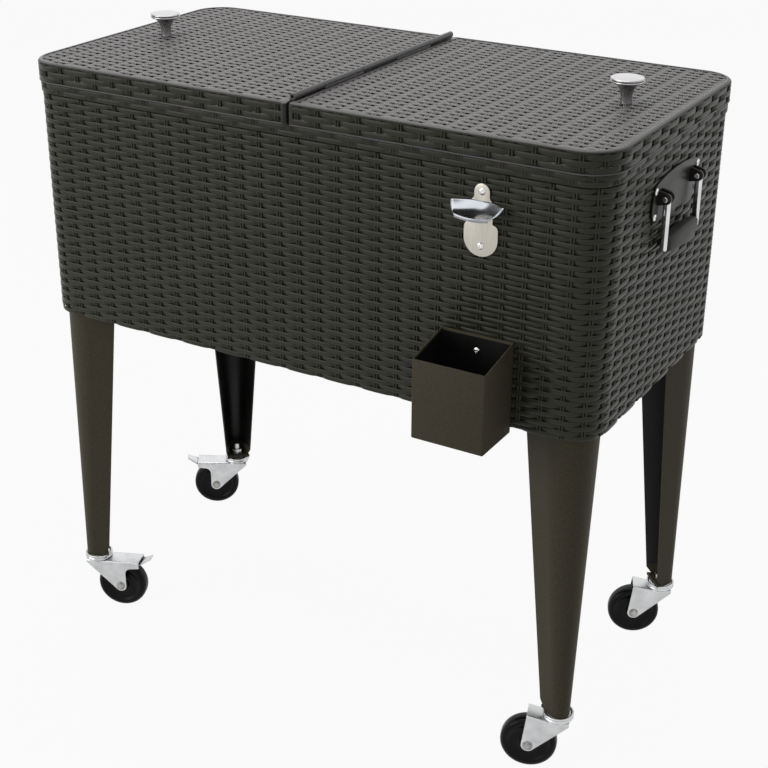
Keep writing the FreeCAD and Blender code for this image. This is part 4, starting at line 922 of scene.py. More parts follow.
def knuckle(name, length):
    half = [(KNUCKLE_BORE, 0), (KNUCKLE_RADIUS - KNUCKLE_EDGE, 0), (KNUCKLE_RADIUS, KNUCKLE_EDGE)]
    other = [(radius, length - height) for radius, height in reversed(half)]
    return smooth(turned(name, half + other, 32, bored=True))


def make_bead(name):
    low, top = LID_BOTTOM / MM, LID_TOP / MM
    return turned(name, [(3.4, low), (4, low + 0.6), (4, top - 3), (3.4, top - 1.4), (2, top - 0.7)], 24)


for side, (near, far) in KNUCKLES.items():
    parts = [lid_caps[side]]
    low, high = sorted((side * LEAF_NEAR, side * LEAF_FAR))
    for front in (-1, 1):
        start, end = sorted((front * near, front * far))
        tube = knuckle("knuckle", far - near)
        parts.append(placed(tube, (0, start, HINGE_Z), (-90, 0, 0)))
        leaf = block("leaf", (BODY_X + low * MM, BODY_Y + start * MM, LID_TOP - LEAF_SUNK * MM),
                     (BODY_X + high * MM, BODY_Y + end * MM, LEAF_TOP * MM))
        parts.append(eased(leaf, LEAF_ROUND))
        if side < 0:
            parts.append(smooth(placed(make_bead("bead"), (BEAD_X, front * BEAD_Y, 0))))
    word = SIDES[side]
    cap = fit(join(parts), "lid_" + word, "wicker_resin", LID_RIM_WITH_SHEEN, "lid_shell_" + word)
    cap.data.materials.append(RIM)
    edit(cap)
    pick(cap, "FACE", lambda middle, normal:
         LID_BOTTOM + 2 * LIP_HEIGHT < middle.z < LID_TOP - POCKET_DEPTH / 2)
    cap.active_material_index = 1
    bpy.ops.object.material_slot_assign()
    clear()
print("hinge across the lids at", round(HINGE_Z, 1), "mm")

# %% [markdown]
# Each knob is turned metal: a thin disc with a groove round its edge, on a stem that flares out under
# it. Its profile is pushed up from the lid in small steps, so the flare catches the light smoothly.

# %% Knobs
KNOB_X = 330.0
KNOB_PROFILE = [
    (6.9, 0), (6.7, 2.5), (6.7, 7), (7.1, 11), (8.0, 14.5), (9.5, 17.8), (11.4, 20.4), (13.4, 22.4),
    (15.0, 23.6), (15.6, 24.2), (18.4, 24.5), (19.3, 25.0), (19.6, 25.9), (19.3, 26.7), (18.4, 27.1),
    (17.8, 27.4), (18.2, 27.9), (19.2, 28.1), (19.65, 28.7), (19.5, 29.4), (18.9, 29.85), (17.4, 30.0),
]
knob = smooth(turned("lid_knob_left", KNOB_PROFILE, 64), 30)
knobs = {-1: knob, 1: copy_of(knob, "lid_knob_right")}
for side, piece in knobs.items():
    placed(piece, (side * KNOB_X, 0, LID_TOP / MM))
print("knobs", round(2 * KNOB_PROFILE[-2][0], 1), "mm across")

# %% [markdown]
# Screws hold the opener, the catcher and the handle brackets. One is modelled: a domed head on a
# shank, with a cross cut into the head by a Boolean. It is copied to every hole.

# %% Screws
SCREW_HEAD = 4.2
CROSS_ARM = 2.3
CROSS_WIDTH = 0.75
CROSS_LOW, CROSS_TOP = 0.9, 4.0
SCREW_PROFILE = [
    (0.5, -15.4), (1.9, -14), (1.9, 0), (SCREW_HEAD, 0), (SCREW_HEAD, 0.6), (3.8, 1.25), (2.9, 1.8),
    (1.6, 2.1), (0.4, 2.18),
]


def make_screw(name):
    screw = turned(name, SCREW_PROFILE, 24)
    arms = []
    for x, y in ((CROSS_ARM, CROSS_WIDTH / 2), (CROSS_WIDTH / 2, CROSS_ARM)):
        arms.append(block("cross", Vector((-x, -y, CROSS_LOW)) * MM, Vector((x, y, CROSS_TOP)) * MM))
    for arm in arms:
        apply_modifier(screw, "BOOLEAN", object=arm, operation="DIFFERENCE", solver="EXACT")
        bpy.data.objects.remove(arm)
    return smooth(screw, 30)


def screw_set(name, places, turn):
    """Copies of the screw at every place, joined to one piece."""
    return join([placed(copy_of(screw_model, name), place, turn) for place in places])


screw_model = make_screw("screw_model")
print("screw", 2 * SCREW_HEAD, "mm across the head")

# %% [markdown]
# The bottle opener is bent from stainless sheet. Its plate has a round foot with shoulders and a narrow
# tab at the top, and the hood between them sweeps out in two wings, with a dished top and a lip that
# turns down. The plate is drawn and pushed out. The hood is a grid whose points are moved into the dish.

# %% Bottle opener
FRONT = -BODY_DEPTH / MM / 2
OPENER_X = 251.0
OPENER_SHEET, OPENER_EDGE = 2.0, 0.5
FOOT_HALF, FOOT_CENTRE = 21.0, 695.0
TAB_HALF, TAB_CENTRE = 9.5, 748.5
SHOULDER, SHOULDER_ROUND = 713.0, 7.0
NECK_HALF, NECK_TOP, NECK_STEP = 14.0, 737.0, 1.0
FLARE = 6.0
HOOD_BACK_HALF, HOOD_BACK_OUT, HOOD_BACK_Z = 32.3, 12.0, 739.5
HOOD_LIP_HALF, HOOD_LIP_OUT, HOOD_LIP_Z = 21.1, 28.0, 728.0
LIP_START, LIP_DEPTH = 0.8, 4.0
DISH, DISH_FADE, BOW = 3.6, 0.4, 2.5
TAPER = 1.3
WING_START, WING_SWEEP, WING_SPAN = 0.25, 1.2, 0.7
HOOD_COLUMNS, HOOD_ROWS = 18, 14
HOOD_SHEET = 1.6
OPENER_SCREW_HEIGHTS = 749.0, 686.5

right_side = ([(FOOT_HALF, FOOT_CENTRE)]
              + arc(FOOT_HALF - SHOULDER_ROUND, SHOULDER - SHOULDER_ROUND, SHOULDER_ROUND, 0, 90, 5)
              + [(NECK_HALF, SHOULDER + NECK_STEP), (NECK_HALF, NECK_TOP)]
              + arc(TAB_HALF + FLARE, NECK_TOP + FLARE + NECK_STEP, FLARE, -110, -180, 6))
left_side = [(-x, z) for x, z in reversed(right_side)]
opener_outline = (arc(0, FOOT_CENTRE, FOOT_HALF, -170, -10, 18) + right_side
                  + arc(0, TAB_CENTRE, TAB_HALF, 0, 180, 14) + left_side)
opener = eased(plate("opener_plate", opener_outline, FRONT - OPENER_SHEET, FRONT), OPENER_EDGE)
placed(opener, (OPENER_X, 0, 0))


def hood_point(across, out):
    """Where a point of the hood lies: across is -1 to 1, out is 0 at the bend and 1 at the lip's edge."""
    shelf = min(out / LIP_START, 1)
    turn = max(out - LIP_START, 0) / (1 - LIP_START)
    half = HOOD_BACK_HALF + (HOOD_LIP_HALF - HOOD_BACK_HALF) * shelf ** TAPER
    wing = max(abs(across) - WING_START, 0) ** WING_SWEEP / WING_SPAN
    back = OPENER_SHEET / 2 + HOOD_BACK_OUT * wing
    front = HOOD_LIP_OUT + BOW * (1 - across * across)
    y = FRONT - back - (front - back) * shelf
    z = HOOD_BACK_Z + (HOOD_LIP_Z - HOOD_BACK_Z) * shelf - LIP_DEPTH * turn
    z -= DISH * math.sin(math.pi * shelf) * (1 - DISH_FADE * across * across) * (1 - turn)
    z -= BOW / 2 * (1 - across * across) * shelf
    return OPENER_X + across * half, y, z


clear()
bpy.ops.mesh.primitive_grid_add(x_subdivisions=HOOD_COLUMNS, y_subdivisions=HOOD_ROWS, size=2)
hood = started("opener_hood")
for vertex in hood.data.vertices:
    vertex.co = Vector(hood_point(vertex.co.x, (1 - vertex.co.y) / 2)) * MM
placed(hood)
clean(hood)
apply_modifier(hood, "SOLIDIFY", thickness=HOOD_SHEET * MM, offset=-1)
apply_modifier(hood, "SUBSURF", levels=1, render_levels=1)
smooth(hood, 60)
opener_places = [(OPENER_X, FRONT - OPENER_SHEET, height) for height in OPENER_SCREW_HEIGHTS]
opener_screws = screw_set("opener_screw_heads", opener_places, (90, 0, 0))
print("opener", 2 * FOOT_HALF, "mm wide, hood", 2 * HOOD_BACK_HALF, "mm")

# %% [markdown]
# The cap catcher is a folded sheet box, open at the top, with its rim falling to the front. A block
# loses its top, its front rim is moved down, its folds are bevelled and Solidify gives the sheet.
# Inside it is near black, partly from black coat and partly from shade, so the same steps make a thin
# near-black lining that fits in it, with that shade painted in.

# %% Cap catcher
CATCHER_LOW, CATCHER_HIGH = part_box("cap_catcher")
CATCHER_FALL = 14.0
CATCHER_SHEET, CATCHER_EDGE = 1.5, 0.35
CATCHER_FOLD, CATCHER_UPRIGHT = 1.8, 20.0
CATCHER_SCREW_HEIGHTS = 560.0, 500.0
LINING, LINING_GAP = 0.2, 0.05


def open_box(name, inset, sheet):
    """A folded box inside the catcher's outline, open at the top, with its rim falling to the front."""
    step = Vector((inset, inset, inset)) * MM
    low, high = CATCHER_LOW + step, CATCHER_HIGH - Vector((step.x, step.y, 2 * step.z))
    box = block(name, low, high)
    edit(box)
    pick(box, "FACE", lambda middle, normal: normal.z > 0.9)
    bpy.ops.mesh.delete(type="FACE")
    pick(box, "VERT", lambda co: co.z > high.z - NEAR and co.y < low.y + NEAR)
    bpy.ops.transform.translate(value=(0, 0, -CATCHER_FALL * MM))
    pick(box, "EDGE", lambda middle, run: abs(run.z) > CATCHER_UPRIGHT * MM or middle.z < low.z + NEAR)
    bpy.ops.mesh.bevel(offset=CATCHER_FOLD * MM, segments=3, affect="EDGES")
    clear()
    return apply_modifier(box, "SOLIDIFY", thickness=sheet * MM, offset=-1)


catcher = eased(open_box("cap_catcher_box", 0, CATCHER_SHEET), CATCHER_EDGE)
# The catcher's lining is near black: black coat with the shade inside the box painted in.
catcher_lining = smooth(open_box("cap_catcher_lining", CATCHER_SHEET + LINING_GAP, LINING))
catcher_places = [(OPENER_X, FRONT - CATCHER_SHEET, height) for height in CATCHER_SCREW_HEIGHTS]
catcher_screws = screw_set("catcher_screw_heads", catcher_places, (90, 0, 0))
print("catcher", [round(size / MM) for size in CATCHER_HIGH - CATCHER_LOW], "mm")

# %% [markdown]
# A bail handle hangs on each end. Its bracket is an arched plate with two pairs of ears, its bail is
# two chromed arms on short pins, and its grip is a soft-edged moulding on a rod between them. The right
# one is modelled, and the left one is a copy that is turned half round.

# %% Handles
END = BODY_LENGTH / MM / 2
BRACKET_HALF, BRACKET_SHEET = 73.0, 2.5
BRACKET_LOW, BRACKET_SIDE_TOP, BRACKET_ARCH = 697.0, 736.0, 13.0
BRACKET_CORNER, BRACKET_EDGE = 16.0, 0.7
ARCH_STEPS = 16
PIVOT_OUT, PIVOT_Z = 11.0, 726.5
EAR_PLACES = (44.2, 48.2), (54.8, 58.8)
EAR_RADIUS, EAR_LAP, EAR_FLARE, EAR_EDGE = 6.8, 0.5, 2.0, 0.8
ARM_Y, ARM_THICK, ARM_DEEP, ARM_OVER, ARM_ROUND = 51.5, 6.2, 8.6, 3.2, 3.0
PIN_PROFILE = [(2.6, -9.6), (3, -9.2), (3, 9.2), (2.6, 9.6)]
ROD_RADIUS = 3
BRACKET_SCREW_SIDES, BRACKET_SCREW_HEIGHTS = (-66.0, 66.0), (706.0, 736.0)
GRIP_Z, GRIP_MIDDLE, GRIP_HIGH, GRIP_DEEP, GRIP_LONG = 666.0, 668.5, 23.0, 17.0, 97.4
GRIP_ROUND, GRIP_END = 5.0, 0.62
GRIP_RINGS = [(0.25, 0.99), (0.5, 0.95), (0.72, 0.87), (0.9, 0.74)]


def bracket_outline():
    """Once round the plate: a straight foot, rounded corners and an arched top."""
    inner = BRACKET_HALF - BRACKET_CORNER
    angles = [math.pi * step / ARCH_STEPS for step in range(2, ARCH_STEPS - 1)]
    rise = [(BRACKET_HALF * math.cos(angle), BRACKET_SIDE_TOP + BRACKET_ARCH * math.sin(angle))
            for angle in angles]
    return (arc(inner, BRACKET_LOW + BRACKET_CORNER, BRACKET_CORNER, -90, 0, 6)
            + [(BRACKET_HALF, BRACKET_SIDE_TOP - BRACKET_CORNER)] + rise
            + [(-BRACKET_HALF, BRACKET_SIDE_TOP - BRACKET_CORNER)]
            + arc(-inner, BRACKET_LOW + BRACKET_CORNER, BRACKET_CORNER, -180, -90, 6))


def make_bracket(name):
    bracket = eased(plate(name, bracket_outline(), 0, BRACKET_SHEET), BRACKET_EDGE, 3)
    placed(bracket, (END + BRACKET_SHEET, 0, 0), (0, 0, 90))
    ears = [bracket]
    foot, reach = END + BRACKET_SHEET - EAR_LAP, EAR_RADIUS + EAR_FLARE
    ear = ([(foot, PIVOT_Z - reach)] + arc(END + PIVOT_OUT, PIVOT_Z, EAR_RADIUS, -90, 90, 12)
           + [(foot, PIVOT_Z + reach)])
    for near, far in EAR_PLACES:
        for side in (-1, 1):
            start, end = sorted((side * near, side * far))
            ears.append(placed(eased(plate("ear", ear, start, end), EAR_EDGE, 3)))
    return join(ears)


def make_bail(name):
    parts = []
    for side in (-1, 1):
        pin = turned("pin", PIN_PROFILE, 24)
        parts.append(smooth(placed(pin, (END + PIVOT_OUT, side * ARM_Y, PIVOT_Z), (90, 0, 0))))
        low = Vector((-ARM_DEEP / 2, -ARM_THICK / 2, GRIP_Z - ARM_OVER)) * MM
        high = Vector((ARM_DEEP / 2, ARM_THICK / 2, PIVOT_Z + ARM_OVER)) * MM
        arm = eased(block("arm", low, high), ARM_ROUND, 5)
        parts.append(placed(arm, (END + PIVOT_OUT, side * ARM_Y, 0)))
    rod = turned("rod", [(ROD_RADIUS, -ARM_Y), (ROD_RADIUS, ARM_Y)], 24)
    parts.append(smooth(placed(rod, (END + PIVOT_OUT, 0, GRIP_Z), (90, 0, 0))))
    bail = join(parts)
    bail.name = name
    return bail


def make_grip(name):
    half = Vector((GRIP_DEEP, GRIP_LONG, GRIP_HIGH)) * MM / 2
    grip = block(name, -half, half)
    edit(grip)
    for end, _ in GRIP_RINGS:
        for side in (-1, 1):
            pick_all()
            bpy.ops.mesh.bisect(plane_co=(0, side * end * half.y, 0), plane_no=(0, 1, 0))
    for end, share in GRIP_RINGS + [(1.0, GRIP_END)]:
        pick(grip, "VERT", lambda co: abs(abs(co.y) - end * half.y) < NEAR)
        bpy.ops.transform.resize(value=(share, 1, share), center_override=(0, 0, 0))
    clear()
    apply_modifier(grip, "BEVEL", width=GRIP_ROUND * MM, segments=5, limit_method="ANGLE",
                   angle_limit=EDGE_SHARP)
    smooth(grip, 50)
    return placed(grip, (END + PIVOT_OUT, 0, GRIP_MIDDLE))


def turned_half(piece, name):
    """A copy turned half round the body's middle, for the left end."""
    twin = copy_of(piece, name)
    twin.rotation_euler = (0, 0, math.pi)
    twin.location = 2 * Vector((BODY_X, BODY_Y, 0))
    return settle(twin)


right_handle = (make_bracket("bracket_right"), make_bail("bail_bar_right"), make_grip("grip_pad_right"))
left_handle = [turned_half(piece, piece.name.replace("right", "left")) for piece in right_handle]
handles = {"right": right_handle, "left": left_handle}
bracket_places = [(END + BRACKET_SHEET, y, z) for y in BRACKET_SCREW_SIDES for z in BRACKET_SCREW_HEIGHTS]
right_screws = screw_set("bracket_screw_heads", bracket_places, (0, 90, 0))
bracket_screws = join([right_screws, turned_half(right_screws, "bracket_screws_left")])
print("handles on both ends, grips", GRIP_LONG, "mm long")

# %% [markdown]
# Each leg is a rolled sheet trough with its round side outwards, which tapers to its foot. It stays as
# the measured solid. Its concave inner side is read as black, partly black paint and partly shade
# inside the trough, so a thin near-black lining, with that shade painted in, is drawn along that side
# at the top and again above the foot, the two lines are bridged, and Solidify gives the lining a
# skin's thickness.

# %% Black linings of the legs, with painted shade
LEG_X, LEG_Y = 351.6, 156.9
LEG_TOP, LEG_BOTTOM = 485.0, 85.0
LINING_TOP, LINING_LOW = 481.5, 104.0
LEG_RADII, LEG_FLANKS, LEG_SHIFT = (37.0, 12.5), (35.0, 22.0), 29.0
LEG_HALF_ANGLE = 70.5
LEG_SHEET, LINING_SHY = 2.15, 0.3


def leg_section(z):
    """Points along the concave inner side of the leg at a height, from one edge round to the other."""
    share = (LEG_TOP - z) / (LEG_TOP - LEG_BOTTOM)
    radius = LEG_RADII[0] + share * (LEG_RADII[1] - LEG_RADII[0]) - LEG_SHEET
    flank = LEG_FLANKS[0] + share * (LEG_FLANKS[1] - LEG_FLANKS[0]) - LINING_SHY
    bend = arc(share * LEG_SHIFT, 0, radius, -LEG_HALF_ANGLE, LEG_HALF_ANGLE, 12)
    lean = math.radians(LEG_HALF_ANGLE)
    reach = (-flank * math.sin(lean), flank * math.cos(lean))
    first = (bend[0][0] + reach[0], bend[0][1] - reach[1])
    last = (bend[-1][0] + reach[0], bend[-1][1] + reach[1])
    return [(x, y, z) for x, y in [first] + bend + [last]]


def make_lining(name):
    top, low = leg_section(LINING_TOP), leg_section(LINING_LOW)
    lining = one_point(name, top[0])
    draw_on(top)
    bpy.ops.mesh.duplicate()
    bpy.ops.transform.translate(value=(Vector(low[0]) - Vector(top[-1])) * MM)
    draw_on(low)
    pick_all()
    bpy.ops.mesh.bridge_edge_loops()
    bpy.ops.mesh.normals_make_consistent(inside=False)
    clear()
    return smooth(apply_modifier(lining, "SOLIDIFY", thickness=LINING * MM, offset=0))


lining_model = make_lining("lining_model")
leg_linings = []
for side_x in (-1, 1):
    for side_y in (-1, 1):
        word = ("front" if side_y < 0 else "back") + ("_left" if side_x < 0 else "_right")
        lining = copy_of(lining_model, "leg_lining_" + word)
        angle = math.degrees(math.atan2(side_y, side_x))
        leg_linings.append(placed(lining, (side_x * LEG_X, side_y * LEG_Y, 0), (0, 0, angle)))
bpy.data.objects.remove(lining_model)
print("legs lined:", len(leg_linings))

# %% [markdown]
# The casters come next, modelled about their own stem with the wheel trailing along +X. A fork is one
# folded sheet: its side is drawn, pushed across, opened at the ends and below, its folds are bevelled
# and Solidify gives the sheet. The two left-hand forks have a longer arm that carries a brake lever.

# %% Caster forks
TRAIL, WHEEL_RADIUS = 35.0, 36.0
CROWN_LOW, CROWN_TOP, CROWN_RADIUS = 73.5, 76.0, 17.0
FORK_BACK, FORK_HALF, FORK_SHEET, FORK_FOLD = -15.0, 14.5, 2.0, 3.0
FORK_SKIRT, FORK_EDGE = 2.0, 0.35
AXLE_ROUND = 8.5
ARM_START = 14.0
PLAIN_REACH, PLAIN_TOP = 38.0, 81.0
BRAKED_REACH, BRAKED_TOP, BRAKED_ARM = 64.0, 78.0, 10.0
NOTCH, NOTCH_DROP = 9.0, 1.5
CROWN_PROFILE = [
    (16.4, CROWN_LOW), (CROWN_RADIUS, CROWN_LOW + 0.5), (CROWN_RADIUS, CROWN_TOP - 0.7), (16.3, CROWN_TOP),
]

fork_foot = ([(FORK_BACK, CROWN_TOP), (FORK_BACK, CROWN_LOW - FORK_SKIRT)]
             + arc(TRAIL, WHEEL_RADIUS, AXLE_ROUND, -133, -90, 5)
             + arc(TRAIL, WHEEL_RADIUS, AXLE_ROUND, -80, 5, 9))
notch_x = TRAIL + AXLE_ROUND + NOTCH
arm_low = BRAKED_TOP - BRAKED_ARM
arm_root = (ARM_START, CROWN_TOP)
fork_sides = {
    "plain": fork_foot + [(PLAIN_REACH, PLAIN_TOP), arm_root],
    "braked": (fork_foot + arc(notch_x, arm_low - NOTCH_DROP - NOTCH, NOTCH, 180, 90, 6)
               + [(BRAKED_REACH, arm_low), (BRAKED_REACH, BRAKED_TOP), arm_root]),
}


def make_fork(name, side):
    fork = plate(name, side, -FORK_HALF, FORK_HALF)
    edit(fork)
    pick(fork, "FACE", lambda middle, normal: abs(normal.y) < 0.9
         and not (normal.z > 0.5 and middle.z > (CROWN_TOP - 0.5) * MM))
    bpy.ops.mesh.delete(type="FACE")
    pick(fork, "EDGE", lambda middle, run: abs(middle.y) > FORK_HALF * MM - NEAR and abs(run.x) > abs(run.z)
         and middle.z > CROWN_TOP * MM - NEAR)
    bpy.ops.mesh.bevel(offset=FORK_FOLD * MM, segments=4, affect="EDGES")
    clear()
    apply_modifier(fork, "SOLIDIFY", thickness=FORK_SHEET * MM, offset=-1)
    crown = turned("crown", CROWN_PROFILE, 48)
    return eased(join([fork, smooth(crown)]), FORK_EDGE)


forks = {kind: make_fork("fork_model_" + kind, side) for kind, side in fork_sides.items()}
print("forks:", ", ".join(forks))

# %% [markdown]
# The wheel is turned: a tyre with round shoulders, a dished side and a hub that stands a little proud.
# Axle, swivel race and brake lever follow. The race is a cup with a rolled lip round the leg's foot, and
# the lever is a sheet pedal that is bent up and narrowed towards its tip.

# %% Wheel, axle, race and brake lever
WHEEL_HALF, HUB_HALF = 11.0, 12.0
WHEEL_BORE = 4.06
half_wheel = [
    (WHEEL_BORE, HUB_HALF), (9.4, HUB_HALF), (10.2, HUB_HALF - 0.8), (10.8, 8.2), (12.2, 7.2), (17, 6.9),
    (22, 7.2), (24.6, 8.2), (26.2, 9.6), (27.6, 10.7), (29, WHEEL_HALF), (30.4, 10.9), (32.6, 10.1),
    (34.4, 8.5), (35.5, 6.2), (WHEEL_RADIUS, 3.2),
]
wheel_profile = half_wheel + [(radius, -height) for radius, height in reversed(half_wheel)]
AXLE_RADIUS = 4
WASHER_PROFILE = [(6.2, 0), (6.5, 0.2), (6.5, 0.7), (6.2, 0.9), (3.6, 0.95), (3.4, 1.9), (2.6, 2.0)]
NUT_PROFILE = [(5.0, 0.8), (5.5, 1.0), (5.5, 1.5), (5.0, 1.75)]


def laid(piece, place, turn=90):
    """Lay a turned piece across the caster, at a place in millimetres from its stem."""
    piece.rotation_euler = (math.radians(turn), 0, 0)
    piece.location = Vector(place) * MM
    return settle(piece)


wheel_model = smooth(turned("wheel_model", wheel_profile, 72, bored=True), 40)
laid(wheel_model, (TRAIL, 0, WHEEL_RADIUS))
axle = turned("axle_model", [(AXLE_RADIUS, -FORK_HALF), (AXLE_RADIUS, FORK_HALF)], 32)
axle_parts = [smooth(laid(axle, (TRAIL, 0, WHEEL_RADIUS)))]
for side in (-1, 1):
    pair = join([turned("washer", WASHER_PROFILE, 32), turned("nut", NUT_PROFILE, 6)])
    axle_parts.append(laid(smooth(pair, 25), (TRAIL, side * FORK_HALF, WHEEL_RADIUS), -side * 90))
axle_model = join(axle_parts)

RACE_PROFILE = [
    (6.4, 70.5), (7, 71), (7, 72.6), (6.4, 73), (4, 73), (4, 76.5), (14, 76.5), (17, 76.7), (18.7, 77.4),
    (19.4, 78.6), (19.3, 79.6), (18.5, 80.4), (18.1, 81), (18.5, 81.6), (19.2, 82.2), (19.5, 83.2),
    (19.3, 84.2), (18.6, 84.85), (17.7, 85), (16.9, 84.7), (16.3, 84), (15.6, 83.7), (12.5, 84.9),
    (5, 85), (5, 106.4), (4.3, 107),
]
race_model = smooth(turned("race_model", RACE_PROFILE, 64), 40)

LEVER_X, LEVER_Z = 58.0, 71.0
LEVER_BEND, LEVER_TIP = (7.0, 1.5), (23.0, 10.5)
LEVER_WIDE, LEVER_TIP_WIDE, LEVER_SHEET, LEVER_EDGE = 21.0, 13.0, 2.4, 0.9
BARREL_PROFILE = [(2, -14.4), (2, -12), (2.8, -12), (2.8, 12), (2, 12), (2, 14.4)]
lever_line = [(0, 0), LEVER_BEND, LEVER_TIP]
lever_side = [(LEVER_X + x, LEVER_Z + z - LEVER_SHEET / 2) for x, z in lever_line]
lever_side += [(LEVER_X + x, LEVER_Z + z + LEVER_SHEET / 2) for x, z in reversed(lever_line)]
pedal = plate("lever_model", lever_side, -LEVER_WIDE / 2, LEVER_WIDE / 2)
edit(pedal)
pick(pedal, "VERT", lambda co: co.x > (LEVER_X + (LEVER_BEND[0] + LEVER_TIP[0]) / 2) * MM)
bpy.ops.transform.resize(value=(1, LEVER_TIP_WIDE / LEVER_WIDE, 1), center_override=(0, 0, 0))
clear()
eased(pedal, LEVER_EDGE, 3)
barrel = laid(turned("barrel", BARREL_PROFILE, 24), (LEVER_X, 0, LEVER_Z))
lever_model = join([pedal, smooth(barrel)])
print("wheel", 2 * WHEEL_RADIUS, "mm, race", 2 * max(radius for radius, _ in RACE_PROFILE), "mm across")

# %% [markdown]
# Each caster is set at its own stem, turned the way it stands in the picture. Stem and direction come
# from the joints of the frame. The models themselves are removed afterwards.

# %% Casters in place
joints = {joint["name"]: joint for joint in frame["joints"]}
CORNERS = ("front_left", "front_right", "back_left", "back_right")
BRAKED = ("front_left", "back_left")


def at_corner(model, name, corner):
    """A copy of the model at a corner's stem, turned to trail as that caster does."""
    stem = Vector(joints["caster_" + corner + "_swivel"]["pos_m"])
    axle = Vector(joints["wheel_" + corner + "_spin"]["pos_m"])
    piece = copy_of(model, name)
    piece.rotation_euler = (0, 0, math.atan2(axle.y - stem.y, axle.x - stem.x))
    piece.location = (stem.x, stem.y, 0)
    return settle(piece)


casters = {}
for corner in CORNERS:
    braked = corner in BRAKED
    casters[corner] = {
        "fork": at_corner(forks["braked" if braked else "plain"], "fork_plate_" + corner, corner),
        "axle": at_corner(axle_model, "axle_bolt_" + corner, corner),
        "wheel": at_corner(wheel_model, "wheel_tyre_" + corner, corner),
        "race": at_corner(race_model, "race_" + corner, corner),
    }
    if braked:
        casters[corner]["lever"] = at_corner(lever_model, "brake_pedal_" + corner, corner)
races = join([casters[corner]["race"] for corner in CORNERS])
for model in (*forks.values(), axle_model, wheel_model, race_model, lever_model, screw_model):
    bpy.data.objects.remove(model)
print("casters at", ", ".join(CORNERS))

# %% [markdown]
# The remaining finishes follow the real materials: bright and dull zinc plate, polished and satin
# stainless, screw steel, satin nickel, chrome, powder coats and paints, dark resins, black rubber,
# white resin and foam. The polished stainless is darker than the real metal, as a painted dark
# reflection, and the black lining coat carries painted shade. Each keeps some drift in tone and gloss,
# because even a new part is never one flat colour.

# %% Other finishes
ZINC = make_finish("bright_zinc", (0.48, 0.49, 0.495), (0.64, 0.65, 0.655), (0.26, 0.42), metal=1.0,
                   patch=60, grain=500, bump=0.12, depth=0.2)
SATIN_STEEL = make_finish("satin_stainless", (0.44, 0.42, 0.37), (0.57, 0.545, 0.48), (0.3, 0.42),
                          metal=1.0, patch=20, grain=900, bump=0.06, stretch=(300, 8, 8), streak_scale=5)
AXLE_ZINC = make_finish("dull_axle_zinc", (0.2, 0.2, 0.19), (0.42, 0.42, 0.4), (0.2, 0.34), metal=1.0,
                        patch=160, grain=900, bump=0.05)
# Darker than the satin plate: the hood's dish shows a painted dark reflection.
POLISHED_DARKENED = make_finish("polished_stainless_dark_reflection", (0.24, 0.25, 0.27), (0.34, 0.35, 0.37), (0.14, 0.22),
                       metal=1.0, patch=25, grain=600, bump=0.03)
SCREW_STEEL = make_finish("bright_screw_steel", (0.6, 0.6, 0.58), (0.75, 0.75, 0.73), (0.14, 0.24),
                          metal=1.0, patch=90, grain=900, bump=0.04)
NICKEL = make_finish("brushed_nickel", (0.38, 0.37, 0.37), (0.46, 0.45, 0.45), (0.2, 0.3), metal=1.0,
                     patch=30, grain=900, bump=0.01)
CHROME = make_finish("bail_plate_chrome", (0.6, 0.61, 0.62), (0.74, 0.75, 0.76), (0.06, 0.12), metal=1.0,
                     patch=40, grain=700, bump=0.04)
POWDER = make_finish("bronze_powder_coat", (0.06, 0.0515, 0.0335), (0.084, 0.073, 0.05), (0.5, 0.62),
                     patch=380, grain=1500, bump=0.3, depth=0.06, specular=0.15)
# Near black for the linings of the legs and the catcher: black coat and painted shade together.
BLACK_COAT_AND_SHADE = make_finish("black_coat_and_painted_shade", (0.003, 0.003, 0.0028), (0.007, 0.0068, 0.0062), (0.4, 0.55),
                         patch=14, grain=1300, bump=0.2, specular=0.25)
BRACKET_COAT = make_finish("black_gloss_coat", (0.014, 0.0125, 0.01), (0.022, 0.02, 0.017), (0.28, 0.38),
                           specular=0.25, patch=20, grain=900, bump=0.1)
GRIP_RESIN = make_finish("soft_grip_resin", (0.022, 0.022, 0.02), (0.034, 0.034, 0.031), (0.46, 0.6),
                         specular=0.25, patch=30, grain=1300, bump=0.25, depth=0.08)
TYRE = make_finish("black_tyre", (0.002, 0.002, 0.002), (0.005, 0.005, 0.005), (0.26, 0.38), specular=0.12,
                   patch=40, grain=900, bump=0.1)
LINER = make_finish("white_liner_resin", (0.72, 0.73, 0.72), (0.8, 0.81, 0.8), (0.22, 0.34),
                    patch=6, grain=900, bump=0.06)
FOAM = make_finish("cream_foam", (0.7, 0.66, 0.5), (0.82, 0.78, 0.62), (0.85, 0.95),
                   patch=30, grain=400, bump=0.5, depth=0.4)
PAN = make_finish("black_pan_paint", (0.012, 0.012, 0.012), (0.022, 0.022, 0.021), (0.4, 0.55),
                  patch=8, grain=1100, bump=0.2)
SEAL = make_finish("seal_black_rubber", (0.012, 0.012, 0.012), (0.02, 0.02, 0.02), (0.6, 0.75),
                   patch=30, grain=1200, bump=0.25)
print("finishes:", len([m for m in bpy.data.materials if m.use_nodes]))

# %% [markdown]
# Now every piece gets its finish and goes on the body that it moves with, in place of the solids it
# stands for. What stays as a measured solid, such as the tub, the legs, the collar and the pan, gets
# the finish of its own material. The bridge under the hinge takes the finish of the lids' rim, which is
# lightened as painted sheen.

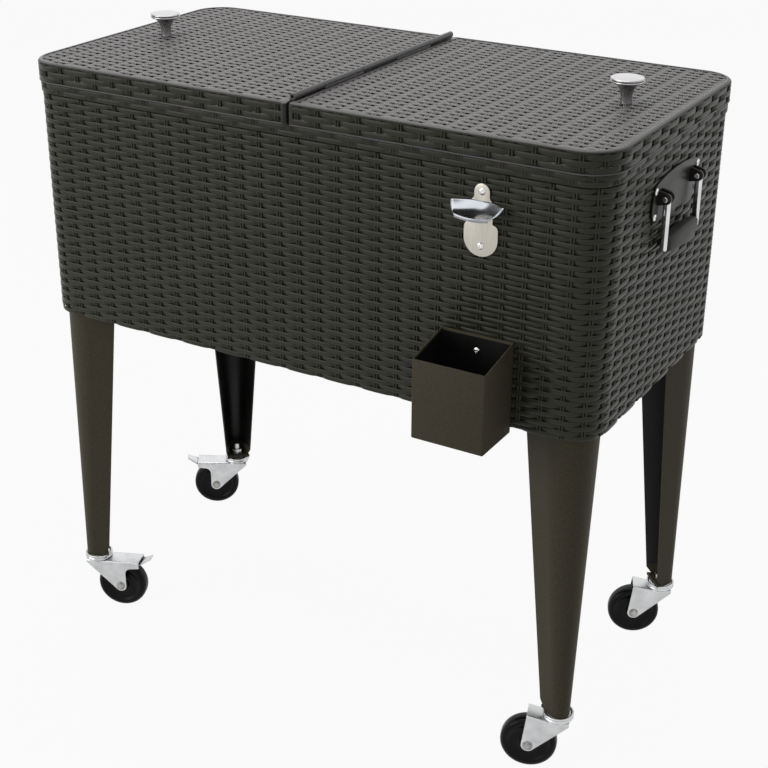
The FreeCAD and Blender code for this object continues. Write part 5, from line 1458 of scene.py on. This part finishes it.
# %% Finishes on every piece
for side, word in SIDES.items():
    fit(knobs[side], "lid_" + word, "satin_nickel", NICKEL, "knob_" + word)
    bracket, bail, grip = handles[word]
    fit(bracket, "cooler_body", "bracket_coat", BRACKET_COAT, "handle_bracket_" + word)
    fit(bail, "handle_" + word, "bail_chrome", CHROME, "bail_" + word)
    fit(grip, "handle_" + word, "grip_resin", GRIP_RESIN, "grip_" + word)
body_pieces = [
    (opener, "stainless", SATIN_STEEL, "bottle_opener"),
    (hood, "stainless", POLISHED_DARKENED),
    (opener_screws, "screw_steel", SCREW_STEEL, "opener_screws"),
    (catcher, "powder_coat", POWDER, "cap_catcher"),
    (catcher_lining, "powder_coat", BLACK_COAT_AND_SHADE),
    *((lining, "powder_coat", BLACK_COAT_AND_SHADE) for lining in leg_linings),
    (catcher_screws, "screw_steel", SCREW_STEEL, "catcher_screws"),
    (bracket_screws, "screw_steel", SCREW_STEEL, "bracket_screws"),
    (races, "zinc_steel", ZINC, "caster_stems"),
]
for piece, *details in body_pieces:
    fit(piece, "cooler_body", *details)
for corner, pieces in casters.items():
    fit(pieces["fork"], "caster_" + corner, "zinc_steel", ZINC, "fork_" + corner)
    fit(pieces["axle"], "caster_" + corner, "zinc_steel", AXLE_ZINC, "axle_" + corner)
    fit(pieces["wheel"], "wheel_body_" + corner, "wheel_resin", TYRE, "wheel_" + corner)
    if "lever" in pieces:
        fit(pieces["lever"], "brake_" + corner, "zinc_steel", ZINC, "brake_lever_" + corner)

SOLID_FINISHES = {
    "rim_resin": RIM, "foam": FOAM, "liner_resin": LINER, "pan_steel": PAN, "seal_rubber": SEAL,
    "zinc_steel": ZINC, "stainless": SATIN_STEEL, "screw_steel": SCREW_STEEL, "powder_coat": POWDER,
    "satin_nickel": NICKEL, "bracket_coat": BRACKET_COAT, "bail_chrome": CHROME, "grip_resin": GRIP_RESIN,
    "wheel_resin": TYRE, "wicker_resin": RIM,
}
for part in frame["record"]["subparts"]:
    solid = frame["nodes"][part["node"]]
    solid.data.materials.clear()
    solid.data.materials.append(SOLID_FINISHES[part["material_slot"]])
# The bridge takes the lids' rim finish, lightened as painted sheen.
frame["nodes"]["centre_bridge"].data.materials[0] = LID_RIM_WITH_SHEEN
print("solids with a finish:", len(frame["nodes"]))
